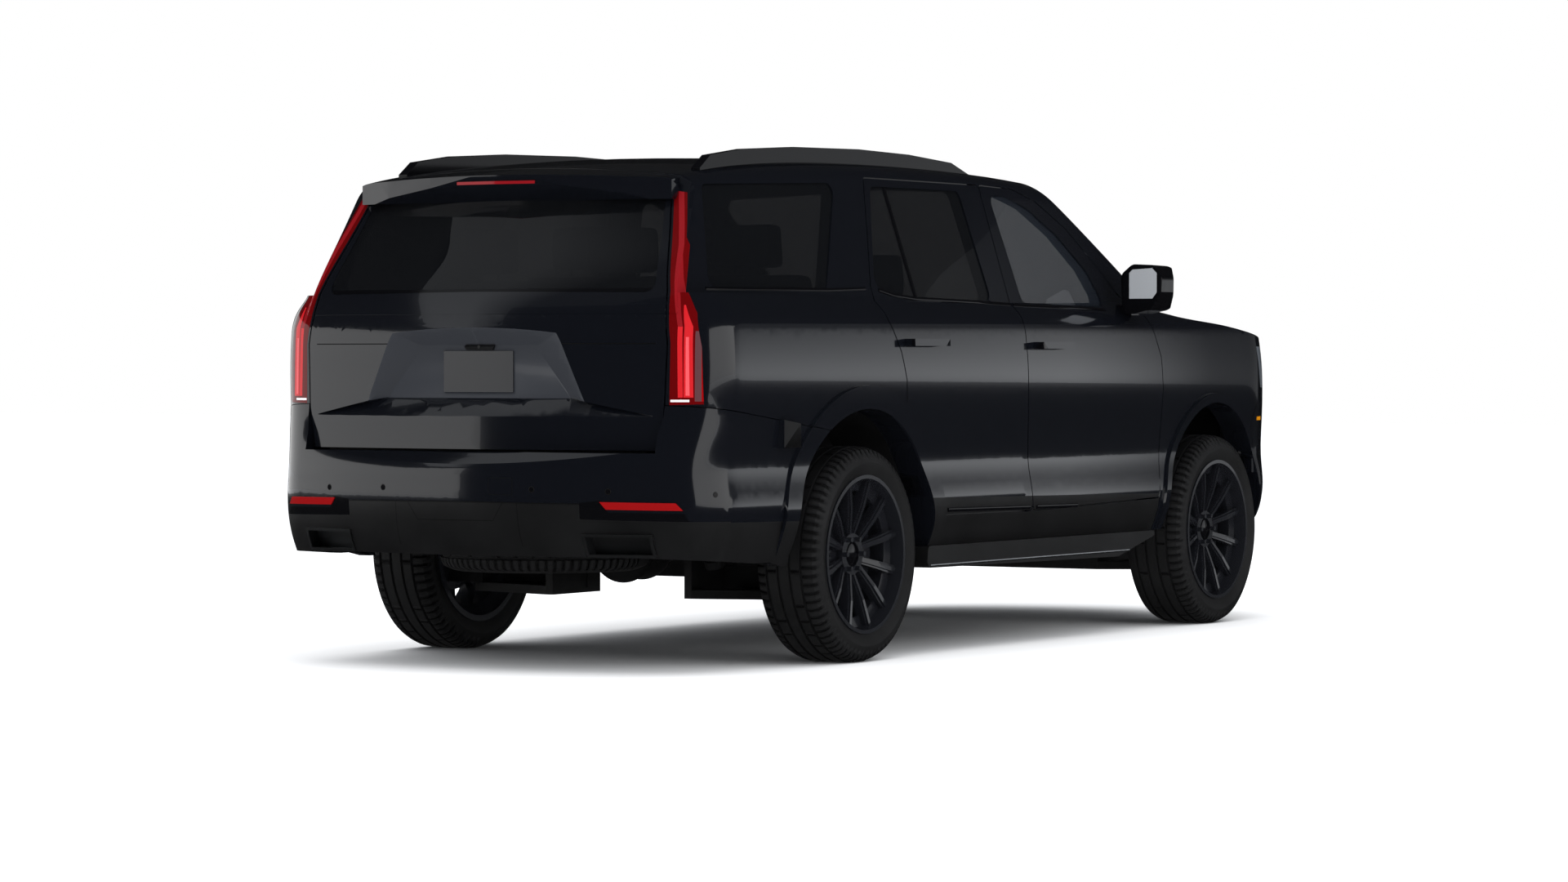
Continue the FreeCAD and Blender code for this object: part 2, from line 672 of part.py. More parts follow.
lamp_y = half_length*rear_corner_y_share - 2*shell_wall
lamp_front = yz(lamp_front_shares)
lamp_side_ring = lamp_front + [(length, lamp_front[-1][1]), (length, lamp_front[0][1])]
lamp_prism = along_y(xz(tail_lamp_shares), lamp_y, length).common(along_x(lamp_side_ring, 0, far_x))
lamp_room = along_y(xz(tail_lamp_shares), lamp_y, length, 0.0, seat_gap).common(along_x(lamp_side_ring, 0, far_x, 0.0, seat_gap))

hood_outline = xy(hood_plan_shares)
hood_low = height*hood_low_share
hood_full = hood_outline + [(-x, y) for x, y in reversed(hood_outline[1:-1])]
hood_prism = along_z(hood_full, hood_low, height, 0.0, -half_gap).common(left_half)
hood_room = along_z(hood_full, hood_low - panel_gap, height, 0.0, half_gap)

door_front_line = yz(front_door_shares[:7])
fender_ring = [(-length, 0.0), (door_front_line[0][0], 0.0)] + door_front_line + [(door_front_line[-1][0], height), (-length, height)]
fender_zone = along_x(fender_ring, 0, far_x, 0.0, -half_gap)
fender_room = along_x(fender_ring, 0, far_x, 0.0, half_gap)

nose_prism = along_x(yz(nose_shares), 0, far_x)
nose_room = along_x(yz(nose_shares), 0, far_x, 0.0, half_gap)
headlamp_in = half_width*headlamp_in_share
headlamp_prism = along_x(yz(lamp_side_shares), headlamp_in, far_x)
headlamp_room = along_x(yz(lamp_side_shares), headlamp_in - seat_gap, far_x, 0.0, seat_gap)
grille_ring = mirror_points(xz(grille_shares))
grille_room = along_y(grille_ring, -length, -half_length + overrun)

screen_ring = mirror_points(xz(screen_opening_shares))
screen_room = along_y(screen_ring, -length, 0)
screen_prism = along_y(screen_ring, -length, 0, 0.0, -glass_gap)

roof_z = height*cabin_base_share
cowl_x = half_width*cowl_in_share
below_rocker = box(0, far_x, -length, length, -height, height*rocker_shares[0][1])

# ---- wheel-arch flares -----------------------------------------------------
flare_band = lower_form(-flare_rise).cut(lower_form(flare_root)).common(box(half_width - shell_wall, far_x, -length, length, height*rocker_shares[0][1], cabin_base_share*height))


def flare(axle_y, radius):
    return flare_band.common(cylinder_x(0, far_x, radius, axle_y, arch_z).cut(cylinder_x(0, far_x, arch_radius, axle_y, arch_z)))


rear_flare = flare(rear_axle_y, flare_radius - panel_gap)
front_flare = flare(front_axle_y, front_flare_radius)
print("flares", rear_flare.Volume/1e6, front_flare.Volume/1e6, len(rear_flare.Solids), len(front_flare.Solids))

# ---- body sides and roof ---------------------------------------------------
quarter_room = window_prism("quarter")
low_shell_front = half_length*front_door_shares[6][0]
roof_outline = xy(roof_plan_shares)
roof_ring = [(0.0, roof_outline[0][1])] + roof_outline + [(0.0, roof_outline[-1][1])]
roof_zone = along_z(roof_ring, roof_z, 2*height)
side = shell.cut([quarter_room, rear_arch, bumper_room, gate_room, lamp_room, below_rocker, screen_room,
                  roof_zone])
side = side.cut(fender_room.common(box(0, far_x, -length, length, -height, height*front_door_shares[6][1])))
pieces = solids_of(side)
print("side pieces", [round(s.Volume/1e6, 2) for s in pieces])
side = max(pieces, key=lambda s: s.Volume).fuse(rear_flare.cut(bumper_room))
side = max(solids_of(side), key=lambda s: s.Volume)
save("body_sides", side, mirrored(side))
roof = cab_out.cut(cab_in).common(roof_zone).cut([gate_room, screen_room, lamp_room])
pieces = solids_of(roof)
print("roof pieces", [round(s.Volume/1e6, 2) for s in pieces])
roof = max(pieces, key=lambda s: s.Volume)
save("roof_panel", roof.fuse(mirrored(roof)).removeSplitter())
quarter = glass_band.common(window_prism("quarter", -glass_gap))
save("quarter_windows", quarter, mirrored(quarter))

# ---- windscreen ---------------------------------------------------------------
screen_band = screen_slab(glass_inset).cut(screen_slab(glass_inset + glass_wall)).common(cabin_form(glass_inset))
windshield = screen_band.common(screen_prism).cut([low_out, mirrored(low_out)])
windshield = max(solids_of(windshield), key=lambda s: s.Volume)
save("windshield", windshield)

# ---- nose: fenders, bonnet, bumper, headlamps, grille ----------------------------
low_nose = lower(nose_wall)
nose_shell = low_out.cut(low_nose)
fender = low_out.cut(low_in).common(fender_zone).cut([hood_room, front_arch, nose_room, headlamp_room, below_rocker,
         box(0, cowl_x, hood_outline[2][1] - overrun, length, 0, height), box(0, headlamp_in, -length, length, 0, height),
         box(0, far_x, low_shell_front - 2*shell_wall, length, height*front_door_shares[6][1] - seat_gap, height)])
pieces = solids_of(fender)
print("fender pieces", [round(s.Volume/1e6, 2) for s in pieces])
fender = max(pieces, key=lambda s: s.Volume).fuse(front_flare.cut(nose_room))
fender = max(solids_of(fender), key=lambda s: s.Volume)
save("front_fenders", fender, mirrored(fender))
cowl = nose_shell.common(box(0, cowl_x, hood_outline[0][1] - panel_gap, half_length*deck_shares[-1][0], hood_low, height)).cut([hood_room, cab_in])
cowl = max(solids_of(cowl), key=lambda s: s.Volume)
save("cowl_panel", cowl.fuse(mirrored(cowl)).removeSplitter())
hood = nose_shell.common(hood_prism)
hood = max(solids_of(hood), key=lambda s: s.Volume)
hood_hinge = along_z(hood_full, hood_hinge_z, hood_hinge_z + hood_hinge_wall, 0.0, half_gap - seat_gap).common(box(hood_hinge_x, hood_hinge_x + hinge_height, hood_outline[1][1] - hinge_length, 0, 0, height))
hood = hood.fuse(hood_hinge)
save("hood", hood.fuse(mirrored(hood)).removeSplitter())
nose = nose_shell.common(nose_prism).cut([hood_room, headlamp_room, grille_room, front_arch])
pieces = solids_of(nose)
print("nose pieces", [round(s.Volume/1e6, 2) for s in pieces])
nose = max(pieces, key=lambda s: s.Volume)
nose_lip = along_x(yz(nose_shares), nose_lip_x, nose_lip_x + hinge_wall, 0.0, half_gap - seat_gap).common(box(0, far_x, -length, half_length*nose_shares[0][0] + panel_gap, nose_lip_z, nose_lip_z + hinge_height)).cut(box(0, far_x, -length, half_length*nose_shares[0][0] - hinge_length, 0, height))
nose = nose.fuse([nose_lip] + solids_of(front_flare.common(nose_prism)))
save("front_bumper", nose.fuse(mirrored(nose)).removeSplitter())
headlamp = nose_shell.common(headlamp_prism).cut(hood_room)
headlamp = max(solids_of(headlamp), key=lambda s: s.Volume)
save("headlamps", headlamp, mirrored(headlamp))

# ---- tail: gate, lamps, bumper ------------------------------------------------------
gate_shell = low_out.fuse(cab_out).cut(low_in.fuse(cab_in))
back_glass_prism = along_y(mirror_points(xz(back_window_shares)), half_length*roof_rear_share, length, window_radius)
gate_half = gate_shell.common(gate_prism).cut(back_glass_prism)
pieces = solids_of(gate_half)
print("gate pieces", [round(s.Volume/1e6, 2) for s in pieces])
gate_half = max(pieces, key=lambda s: s.Volume)
gate_hinge = box(gate_hinge_x, gate_hinge_x + hinge_height, gate_front_y - panel_gap + seat_gap, gate_front_y + hinge_length, gate_hinge_z, gate_hinge_z + gate_hinge_wall)


def wire_of(points):
    return Part.makePolygon(points + [points[0]])


def scoop():
    """The number-plate recess and the ledge below it, cut into the gate's lower half."""
    inner = [V(x, half_length*scoop_inner_y_share, z) for x, z in xz(scoop_inner_shares)]
    outer_ring = [V(x, half_length*scoop_outer_y_share, z) for x, z in xz(scoop_outer_shares)]
    recess = Part.makeLoft([wire_of(inner), wire_of(outer_ring)], True, True)
    stations = [half_width*x for x in ledge_station_shares]
    corner_x, tip_x = stations[2], stations[-1]
    rear_y, sag, corner_sag = half_length*level_shares[6][2], half_length*rear_sag_share, half_width*rear_corner_x_share
    ridge_z, top_z, root_y = height*ridge_share, height*ledge_top_share, half_length*ledge_root_y_share
    tip_y = rear_y - sag*(tip_x/corner_sag)**2
    rings = []
    for x in stations:
        surface_y = rear_y - sag*(x/corner_sag)**2
        along = max(0.0, (x - corner_x)/(tip_x - corner_x))
        y, z = root_y + along*(tip_y - flare_root - root_y), top_z + along*(ridge_z + flare_root - top_z)
        out_y, out_z = surface_y + ledge_reach_share*(surface_y - y), ridge_z + ledge_reach_share*(ridge_z - z)
        rings.append(wire_of([V(x, y, z), V(x, out_y, out_z), V(x, out_y + bumper_wall, out_z), V(x, out_y + bumper_wall, z + flare_root)]))
    return [recess, Part.makeLoft(rings, True, True)]


gate_half = gate_half.cut(scoop())
gate_half = max(solids_of(gate_half), key=lambda s: s.Volume)
blade = along_x(yz(spoiler_section_shares), 0, half_width).common(along_z(xy(spoiler_shares), roof_z, 2*height)).common(cabin_form(0))
wing_room = rear_slab(-panel_gap).common(box(spoiler_wing_x, half_width, 0, length, 0, 2*height))
glass_room = rear_slab(glass_inset - seat_gap).common(back_glass_prism)
blade = blade.cut([cab_in, wing_room, glass_room])
blade = max(solids_of(blade), key=lambda s: s.Volume)
gate_half = gate_half.fuse([blade, gate_hinge])
gate_half = max(solids_of(gate_half), key=lambda s: s.Volume)
save("tailgate", gate_half.fuse(mirrored(gate_half)).removeSplitter())
back_band = rear_slab(glass_inset).cut(rear_slab(glass_inset + glass_wall))
back_glass = back_band.common(along_y(mirror_points(xz(back_window_shares)), half_length*roof_rear_share, length, window_radius, -glass_gap))
save("rear_window", max(solids_of(back_glass), key=lambda s: s.Volume))
tail_lamp = gate_shell.common(lamp_prism)
tail_lamp = max(solids_of(tail_lamp), key=lambda s: s.Volume)
save("tail_lamps", tail_lamp, mirrored(tail_lamp))
pad_x = half_width*bumper_pad_x_share
tail = bumper_form(0).cut(bumper_form(bumper_wall)).common(left_half)
tail = tail.common(along_x(bumper_ring, 0, far_x).common(rear_of_axle)).cut([rear_arch,
       along_x([(0.0, 0.0)] + yz(bumper_low_shares) + [(length, height*bumper_low_shares[-1][1]), (length, 0.0)], 0, far_x),
       along_x(yz(pad_above_shares), 0, pad_x), gate_room, lamp_room,
       box(tip_in_x - seat_gap, tip_out_x + seat_gap, rear_axle_y, length, tip_low - seat_gap, tip_low + tip_height + seat_gap)])
pieces = solids_of(tail)
print("tail pieces", [round(s.Volume/1e6, 2) for s in pieces])
tail = max(pieces, key=lambda s: s.Volume)
step_pad = along_x(yz(pad_slope_shares), 0, pad_x + bumper_wall/2).common(bumper_form(0))
tail = tail.fuse(step_pad)
tail_lip = along_x(bumper_ring, tail_lip_x, tail_lip_x + 2*hinge_wall, 0.0, half_gap - seat_gap).common(box(0, far_x, tail_lip_y, tail_lip_y + 2*hinge_height, height*split_shares[1][1] - hinge_height, height))
tail = tail.fuse([tail_lip] + solids_of(rear_flare.common(along_x(bumper_ring, 0, far_x)).common(rear_of_axle)))
tail = max(solids_of(tail), key=lambda s: s.Volume)
save("rear_bumper", tail.fuse(mirrored(tail)).removeSplitter())


# ---- wheels ------------------------------------------------------------------------
def revolved(points, angle=360.0):
    """Ring about the X axis from its outline in (x, radius)."""
    edges = []
    n = len(points)
    for i in range(n):
        a, b = points[i], points[(i + 1) % n]
        edges.append(Part.LineSegment(V(a[0], 0, a[1]), V(b[0], 0, b[1])).toShape())
    return Part.Face(Part.Wire(edges)).revolve(V(0, 0, 0), V(1, 0, 0), angle)


half_tread, half_tyre, half_bead = tread_width/2, tyre_width/2, bead_width/2
shoulder_drop = tyre_radius*shoulder_drop_share
tyre_middle = (tyre_radius + bead_radius)/2
tyre_side = [(half_bead - sidewall_wall, bead_radius), (half_bead, bead_radius), (half_bead, rim_radius + seat_gap), (half_tyre - shoulder_drop/2, rim_radius + 2*shoulder_drop),
             (half_tyre, tyre_middle), (half_tyre - shoulder_drop, tyre_radius - 3*shoulder_drop), (half_tread, tyre_radius - shoulder_drop),
             (half_tread - 2*shoulder_drop, tyre_radius)]
tyre_inside = [(half_tyre - sidewall_wall, tyre_middle), (half_tread - tread_wall, tyre_radius - tread_wall)]
tyre_points = tyre_side + [(-x, r) for x, r in reversed(tyre_side)] + [(-x, r) for x, r in tyre_inside] + list(reversed(tyre_inside))
tyre = revolved(tyre_points)

seat_r = bead_radius - seat_gap
rim_x = half_bead + rim_wall
well_x = half_bead*well_share
rim = revolved([(rim_x, seat_r), (rim_x, rim_radius), (half_bead + seat_gap, rim_radius), (half_bead + seat_gap, seat_r), (well_x, seat_r), (well_x - rim_wall, rim_well_radius),
                (-half_bead*well_share, rim_well_radius), (-half_bead, seat_r), (-half_bead - seat_gap, seat_r), (-half_bead - seat_gap, rim_radius), (-rim_x, rim_radius), (-rim_x, seat_r - rim_wall),
                (-half_bead, seat_r - rim_wall), (-half_bead*well_share, rim_well_radius - rim_wall), (well_x - rim_wall, rim_well_radius - rim_wall), (well_x, seat_r - rim_wall)])
face_x = half_bead - spoke_dish
spoke_end = seat_r - rim_wall/2


def spoke_bar(share):
    """One spoke of a pair, leaning outwards, as an upright prism."""
    root, end = math.radians(spoke_root_lean), math.radians(spoke_end_lean)
    a = V(0, spoke_root_radius*math.sin(root), spoke_root_radius*math.cos(root))
    b = V(0, spoke_end*math.sin(end), spoke_end*math.cos(end))
    across = (b - a).cross(V(1, 0, 0)).normalize()
    ring = [a - across*(spoke_root_width*share/2), b - across*(spoke_end_width*share/2), b + across*(spoke_end_width*share/2), a + across*(spoke_root_width*share/2)]
    return Part.Face(wire_of(ring)).extrude(V(half_bead, 0, 0))


def dished(rise):
    """Solid of revolution that gives the spokes their hollow face and their back."""
    top, low = face_x + rise, face_x + rise - spoke_hollow
    return revolved([(low, 0.0), (low, hub_radius), (top - spoke_hollow/3, (hub_radius + spoke_end)/2), (top, spoke_end), (top - spoke_depth - rise, spoke_end), (low - spoke_depth - rise, hub_radius), (low - spoke_depth - rise, 0.0)])


pair = []
for share, rise in ((1.0, 0.0), (spoke_ridge_share, spoke_ridge_rise)):
    bar = spoke_bar(share).common(dished(rise))
    pair += [bar, bar.mirror(V(0, 0, 0), V(0, 1, 0))]
pair = pair[0].fuse(pair[1:])
spokes = []
for i in range(spoke_pairs):
    one = pair.copy()
    one.rotate(V(0, 0, 0), V(1, 0, 0), 360.0*i/spoke_pairs)
    spokes.append(one)
hub_top = face_x - spoke_hollow + spoke_ridge_rise
hub = revolved([(hub_face_x, 0.0), (hub_face_x, hub_radius), (hub_top, hub_radius), (hub_top, hub_hole_radius), (hub_top - hub_cap_depth, hub_hole_radius), (hub_top - hub_cap_depth, 0.0)])
disc = revolved([(hub_face_x, 0.0), (hub_face_x, brake_radius), (hub_face_x + brake_wall, brake_radius), (hub_face_x + brake_wall, 0.0)])
wheel = rim.fuse(spokes + [hub, disc])
wheel = wheel.common(revolved([(-rim_x, 0.0), (-rim_x, rim_radius), (rim_x, rim_radius), (rim_x, 0.0)]))
wheel = max(solids_of(wheel), key=lambda s: s.Volume)
places = {"front_left": (wheel_x, front_axle_y), "rear_left": (wheel_x, rear_axle_y)}
for place, (x, y) in places.items():
    for what, shape in (("tyre_", tyre), ("wheel_", wheel)):
        part = shape.copy()
        part.translate(V(x, y, tyre_radius))
        save(what + place, part)
        save(what + place.replace("left", "right"), mirrored(part))

# ---- knuckles and suspension -----------------------------------------------------
pin_x = wheel_x - kingpin_inset
spindle_x = wheel_x + hub_face_x - seat_gap
axle_z = tyre_radius
post = box(pin_x - knuckle_wall/2, pin_x + knuckle_wall/2, -knuckle_wall/2, knuckle_wall/2, lower_joint_z, upper_joint_z)
post.translate(V(0, front_axle_y, 0))
spindle = cylinder_x(pin_x, spindle_x, spindle_radius, front_axle_y, axle_z)
caliper = box(wheel_x + hub_face_x - seat_gap - caliper_wall, wheel_x + hub_face_x - 2*seat_gap, -caliper_length/2, caliper_length/2, brake_radius*caliper_root_share, brake_radius)
caliper.translate(V(0, front_axle_y, axle_z))
arm_plate = box(pin_x, wheel_x + hub_face_x - 2*seat_gap, -knuckle_wall/2, knuckle_wall/2, 0, brake_radius*caliper_arm_share)
arm_plate.translate(V(0, front_axle_y, axle_z))
knuckle = post.fuse([spindle, caliper, arm_plate])
save("knuckle_left", knuckle)
save("knuckle_right", mirrored(knuckle))


def wishbone(axle_y, z, root_x, tip_x, spread, wall):
    """A-shaped arm from the frame rail out to the knuckle."""
    tip = arm_tip
    outline = [(root_x, axle_y - spread), (root_x, axle_y - spread + 2*tip), (root_x + 3*tip, axle_y - tip), (root_x + 3*tip, axle_y + tip), (root_x, axle_y + spread - 2*tip), (root_x, axle_y + spread), (tip_x, axle_y + tip), (tip_x, axle_y - tip)]
    return along_z(outline, z, z + wall)


rail_x0, rail_x1 = rail_centre_x - rail_width/2, rail_centre_x + rail_width/2
front_low = wishbone(front_axle_y, lower_joint_z - arm_wall - joint_gap, rail_x1, pin_x + arm_tip, front_arm_spread, arm_wall)
front_up = wishbone(front_axle_y, upper_joint_z + joint_gap, rail_x1, pin_x + arm_tip, front_arm_spread*upper_arm_share, arm_wall)
cradle_low = lower_joint_z - arm_wall - joint_gap
cradle = box(-rail_x1, rail_x1, front_axle_y - front_arm_spread, front_axle_y + front_arm_spread, cradle_low, cradle_low + cradle_wall)
towers = [box(rail_x0, rail_x1, front_axle_y - member_width/2, front_axle_y + member_width/2, cradle_low, height*rail_shares[1][1] + rail_height/2)]
tower_cut = along_x(yz(rail_shares) + [(length, height), (-length, height)], rail_x0 - rail_width, rail_x1 + rail_width, 0.0, seat_gap)
towers = [t.cut(tower_cut) for t in towers]
front_up.translate(V(seat_gap, 0, 0))
front_unit = front_low.fuse([mirrored(front_low), cradle] + towers + [mirrored(t) for t in towers])
save("front_suspension", front_unit, front_up, mirrored(front_up))

rear_post = box(pin_x - knuckle_wall/2, spindle_x, -knuckle_wall/2, knuckle_wall/2, lower_joint_z - axle_z, upper_joint_z - axle_z)
rear_post.translate(V(0, rear_axle_y, axle_z))
rear_low = wishbone(rear_axle_y, lower_joint_z - arm_wall, rear_arm_root_x, pin_x, rear_arm_spread, arm_wall)
rear_up = wishbone(rear_axle_y, upper_joint_z - 2*arm_wall, rear_arm_root_x, pin_x, rear_arm_spread*upper_arm_share, arm_wall)
shaft = cylinder_x(0, pin_x, shaft_radius, rear_axle_y, axle_z)
corner = rear_post.fuse([rear_low, rear_up, shaft])
diff = Part.makeSphere(diff_radius, V(0, rear_axle_y, axle_z)).fuse(Part.makeCone(diff_radius*diff_root_share, diff_radius*diff_nose_share, diff_nose, V(0, rear_axle_y, axle_z), V(0, -1, 0)))
rail_under = height*rail_shares[5][1] - seat_gap
yoke = box(-rail_x1, rail_x1, rear_axle_y - rear_arm_spread, rear_axle_y + rear_arm_spread, lower_joint_z - arm_wall, rail_under)
yoke = yoke.cut([box(-rear_arm_root_x + 4*rail_wall, rear_arm_root_x - 4*rail_wall, -length, length, 0, rail_under - 5*rail_wall),
                 box(rear_arm_root_x, far_x, -length, length, 0, rail_under - 5*rail_wall), box(-far_x, -rear_arm_root_x, -length, length, 0, rail_under - 5*rail_wall)])
hanger = box(-diff_radius/3, diff_radius/3, rear_axle_y - diff_radius/3, rear_axle_y + diff_radius/3, axle_z, rail_under - 4*rail_wall)
rear_unit = corner.fuse([mirrored(corner), diff, yoke, hanger])
save("rear_suspension", rear_unit)

# ---- chassis -------------------------------------------------------------------------
rail_line = yz(rail_shares)
rail_top = [(y, z + rail_height) for y, z in rail_line]
rail = along_x(rail_line + list(reversed(rail_top)), rail_x0, rail_x1)
members = []
for y_share, z_share in cross_member_shares:
    y, z = half_length*y_share, height*z_share
    members.append(box(-rail_x0, rail_x0, y - member_width/2, y + member_width/2, z, z + member_height))
frame = rail.fuse([mirrored(rail)] + members)
save("chassis_frame", frame)

floor_line = yz(floor_shares)
inner_side = half_width - shell_wall
floor = along_x(strip(floor_line, floor_wall), -inner_side, inner_side)
floor_wide = max(solids_of(floor), key=lambda s: s.Volume)
house_rear = cylinder_x(rear_house_x, inner_side, arch_radius + liner_wall, rear_axle_y, arch_z)
house_front = cylinder_x(front_house_x, inner_side, arch_radius + liner_wall, front_axle_y, arch_z)
above_rail = box(-far_x, far_x, -length, length, house_low, height)
houses = [h.common(above_rail) for h in (house_rear, mirrored(house_rear), house_front, mirrored(house_front))]
wells = [cylinder_x(rear_house_x + liner_wall, far_x, arch_radius, rear_axle_y, arch_z), cylinder_x(front_house_x + liner_wall, far_x, arch_radius, front_axle_y, arch_z)]
wells += [mirrored(w) for w in wells]
slots = [box(front_house_x - liner_wall, front_house_x + 2*liner_wall, front_axle_y - front_arm_spread, front_axle_y + front_arm_spread, 0, upper_joint_z + 2*arm_wall),
         box(rear_house_x - liner_wall, rear_house_x + 2*liner_wall, rear_axle_y - rear_arm_spread, rear_axle_y + rear_arm_spread, 0, upper_joint_z + arm_wall/2)]
slots += [mirrored(c) for c in slots]
under_deck = box(-far_x, far_x, -length, half_length*deck_shares[-1][0], roof_z/2, 2*height).cut(deck_slab(nose_wall + seat_gap))
beside_cowl = box(cowl_x - seat_gap, far_x, -length, low_shell_front, roof_z/2, 2*height).cut(deck_slab(shell_wall + seat_gap))
pan = floor_wide.fuse(houses).cut(wells + slots + [under_deck, beside_cowl, mirrored(beside_cowl)]).common(lower_form(shell_wall + seat_gap))
pieces = solids_of(pan)
print("floor pieces", [round(s.Volume/1e6, 2) for s in pieces])
save("floor_pan", max(pieces, key=lambda s: s.Volume))

board = along_x(yz(board_shares), board_in_x, board_out_x, board_corner)
save("running_boards", board, mirrored(board))

roof_rail_line = yz(roof_rail_shares)
roof_rail_foot = height*station_shares[0][2]
under = [(roof_rail_line[-1][0], roof_rail_foot), (roof_rail_line[0][0], roof_rail_foot)]
roof_rail = along_x(roof_rail_line + under, roof_rail_x - roof_rail_width/2, roof_rail_x + roof_rail_width/2)
roof_rail = roof_rail.cut(cab_out)
roof_rail = max(solids_of(roof_rail), key=lambda s: s.Volume)
save("roof_rails", roof_rail, mirrored(roof_rail))

engine_sides = box(-rail_x0 + seat_gap, rail_x0 - seat_gap, front_axle_y - member_width, front_axle_y, height*rail_shares[1][1] + rail_height, height*rail_shares[1][1] + rail_height + member_width)
engine = box(-engine_width/2, engine_width/2, front_axle_y - engine_length/2, front_axle_y + engine_length/2, engine_low, engine_low + engine_height)
engine = engine.fuse(engine_sides)
save("engine_block", engine)
tank = box(-rail_x0 + tank_clearance, rail_x0 - tank_clearance, tank_y, tank_y + tank_length, tank_low, tank_low + tank_height)
save("fuel_tank", tank)
spare = revolved([(-half_tread, 0.0), (-half_tread, spare_radius - half_tread*spare_round_share), (-half_tread*spare_round_share, spare_radius), (half_tread*spare_round_share, spare_radius), (half_tread, spare_radius - half_tread*spare_round_share), (half_tread, 0.0)])
spare.rotate(V(0, 0, 0), V(0, 1, 0), 90.0)
spare.translate(V(0, half_length*cross_member_shares[-2][0], height*cross_member_shares[-2][1] - seat_gap - half_tread))
save("spare_wheel", spare)
pipe = Part.makeCylinder(pipe_radius, pipe_back - pipe_front, V(exhaust_x, pipe_front, pipe_z), V(0, 1, 0))
tip = bumper_form(-tip_proud).cut(bumper_form(bumper_wall)).common(box(tip_in_x, tip_out_x, rear_axle_y, length, tip_low, tip_low + tip_height))
tip = tip.cut(box(tip_in_x + tip_wall, tip_out_x - tip_wall, rear_axle_y, length, tip_low + tip_wall, tip_low + tip_height - tip_wall).cut(bumper_form(tip_pocket)))
tip = max(solids_of(tip), key=lambda s: s.Volume)
exhaust = pipe.fuse(tip)
save("exhaust_system", exhaust, mirrored(exhaust))

# ---- cabin ---------------------------------------------------------------------------
dash = along_x(yz(dash_shares), -dash_half, dash_half, dash_corner)
floor_top_z = height*floor_shares[5][1] + floor_wall + seat_gap
console = box(-console_width/2, console_width/2, console_front, console_back, floor_top_z, console_top)
dash = dash.fuse(console)
save("dashboard", dash)
wheel_ring = Part.makeTorus(steer_radius, steer_rim_radius)
column = Part.makeCylinder(steer_column_radius, steer_column_length, V(0, 0, -steer_column_length))
bar = Part.makeBox(2*steer_radius, steer_rim_radius*3, steer_rim_radius, V(-steer_radius, -steer_rim_radius*1.5, -steer_rim_radius))
steer = wheel_ring.fuse([column, bar])
steer.rotate(V(0, 0, 0), V(1, 0, 0), -90 + steer_tilt)
steer.translate(V(seat_x, steer_y, steer_z))
steer = steer.cut(dash)
steer = max(solids_of(steer), key=lambda s: s.Volume)
save("steering_wheel", steer)


def seat_block(points, x0, x1, radius):
    return along_x(points, x0, x1, radius)


def seat_parts(y, z, half, back_height):
    """Cushion, back and headrest outlines of one seat row whose hip point is at y, z."""
    cushion = [(y - cushion_length, z), (y, z - cushion_drop), (y, z - cushion_drop - cushion_wall), (y - cushion_length, z - cushion_wall)]
    lean = back_height*back_lean_share
    back_low = z - cushion_drop - back_drop
    back = [(y + seat_gap, back_low), (y + seat_gap, z - cushion_drop), (y + seat_gap + lean, z + back_height), (y + lean + back_wall, z + back_height), (y + back_wall*back_foot_share, back_low)]
    rest_low = z + back_height + headrest_gap
    rest = [(y + lean + back_wall*headrest_foot_share, rest_low), (y + lean + back_wall*headrest_lean_share, rest_low + headrest_height), (y + lean + back_wall, rest_low + headrest_height), (y + lean + back_wall, rest_low)]
    return cushion, back, rest


cushions, backs, rests = [], [], []
posts = []
for y, z, centres, half in ((front_seat_y, front_seat_z, (seat_x, -seat_x), front_seat_half), (second_seat_y, second_seat_z, (0.0,), bench_half), (third_seat_y, third_seat_z, (0.0,), third_half)):
    c, b, r = seat_parts(y, z, half, back_height if y != third_seat_y else third_back_height)
    for x in centres:
        cushions.append((y, along_x(c, x - half, x + half, seat_corner)))
        backs.append((y, along_x(b, x - half, x + half, seat_corner)))
    rest_places = centres if half == front_seat_half else (half*headrest_spread_share, -half*headrest_spread_share)
    for x in rest_places:
        rests.append(along_x(r, x - headrest_half, x + headrest_half, seat_corner*headrest_corner_share))
        for side in (-1, 1):
            posts.append(Part.makeCylinder(post_radius, headrest_gap - 2*seat_gap, V(x + side*headrest_half/2, r[0][0] + back_wall/2, r[0][1] - headrest_gap + seat_gap)))
save("front_seat_cushions", *[s for y, s in cushions if y == front_seat_y])
save("rear_seat_cushions", *[s for y, s in cushions if y != front_seat_y])
save("front_seat_backs", *[s for y, s in backs if y == front_seat_y])
save("rear_seat_backs", *[s for y, s in backs if y != front_seat_y])
save("headrests", *rests)
bases = []
for y, z, x, half in ((front_seat_y, front_seat_z, seat_x, front_seat_half), (front_seat_y, front_seat_z, -seat_x, front_seat_half), (second_seat_y, second_seat_z, 0.0, bench_half), (third_seat_y, third_seat_z, 0.0, third_half)):
    base_top = z - cushion_wall - (1 - base_back_share)*cushion_drop - seat_gap
    floor_z = floor_top_z if y != third_seat_y else height*floor_shares[-1][1] + floor_wall + seat_gap
    bases.append(box(x - half*seat_base_share, x + half*seat_base_share, y - base_front_share*cushion_length, y - base_back_share*cushion_length, floor_z, base_top))
save("seat_frames", *(bases + posts))

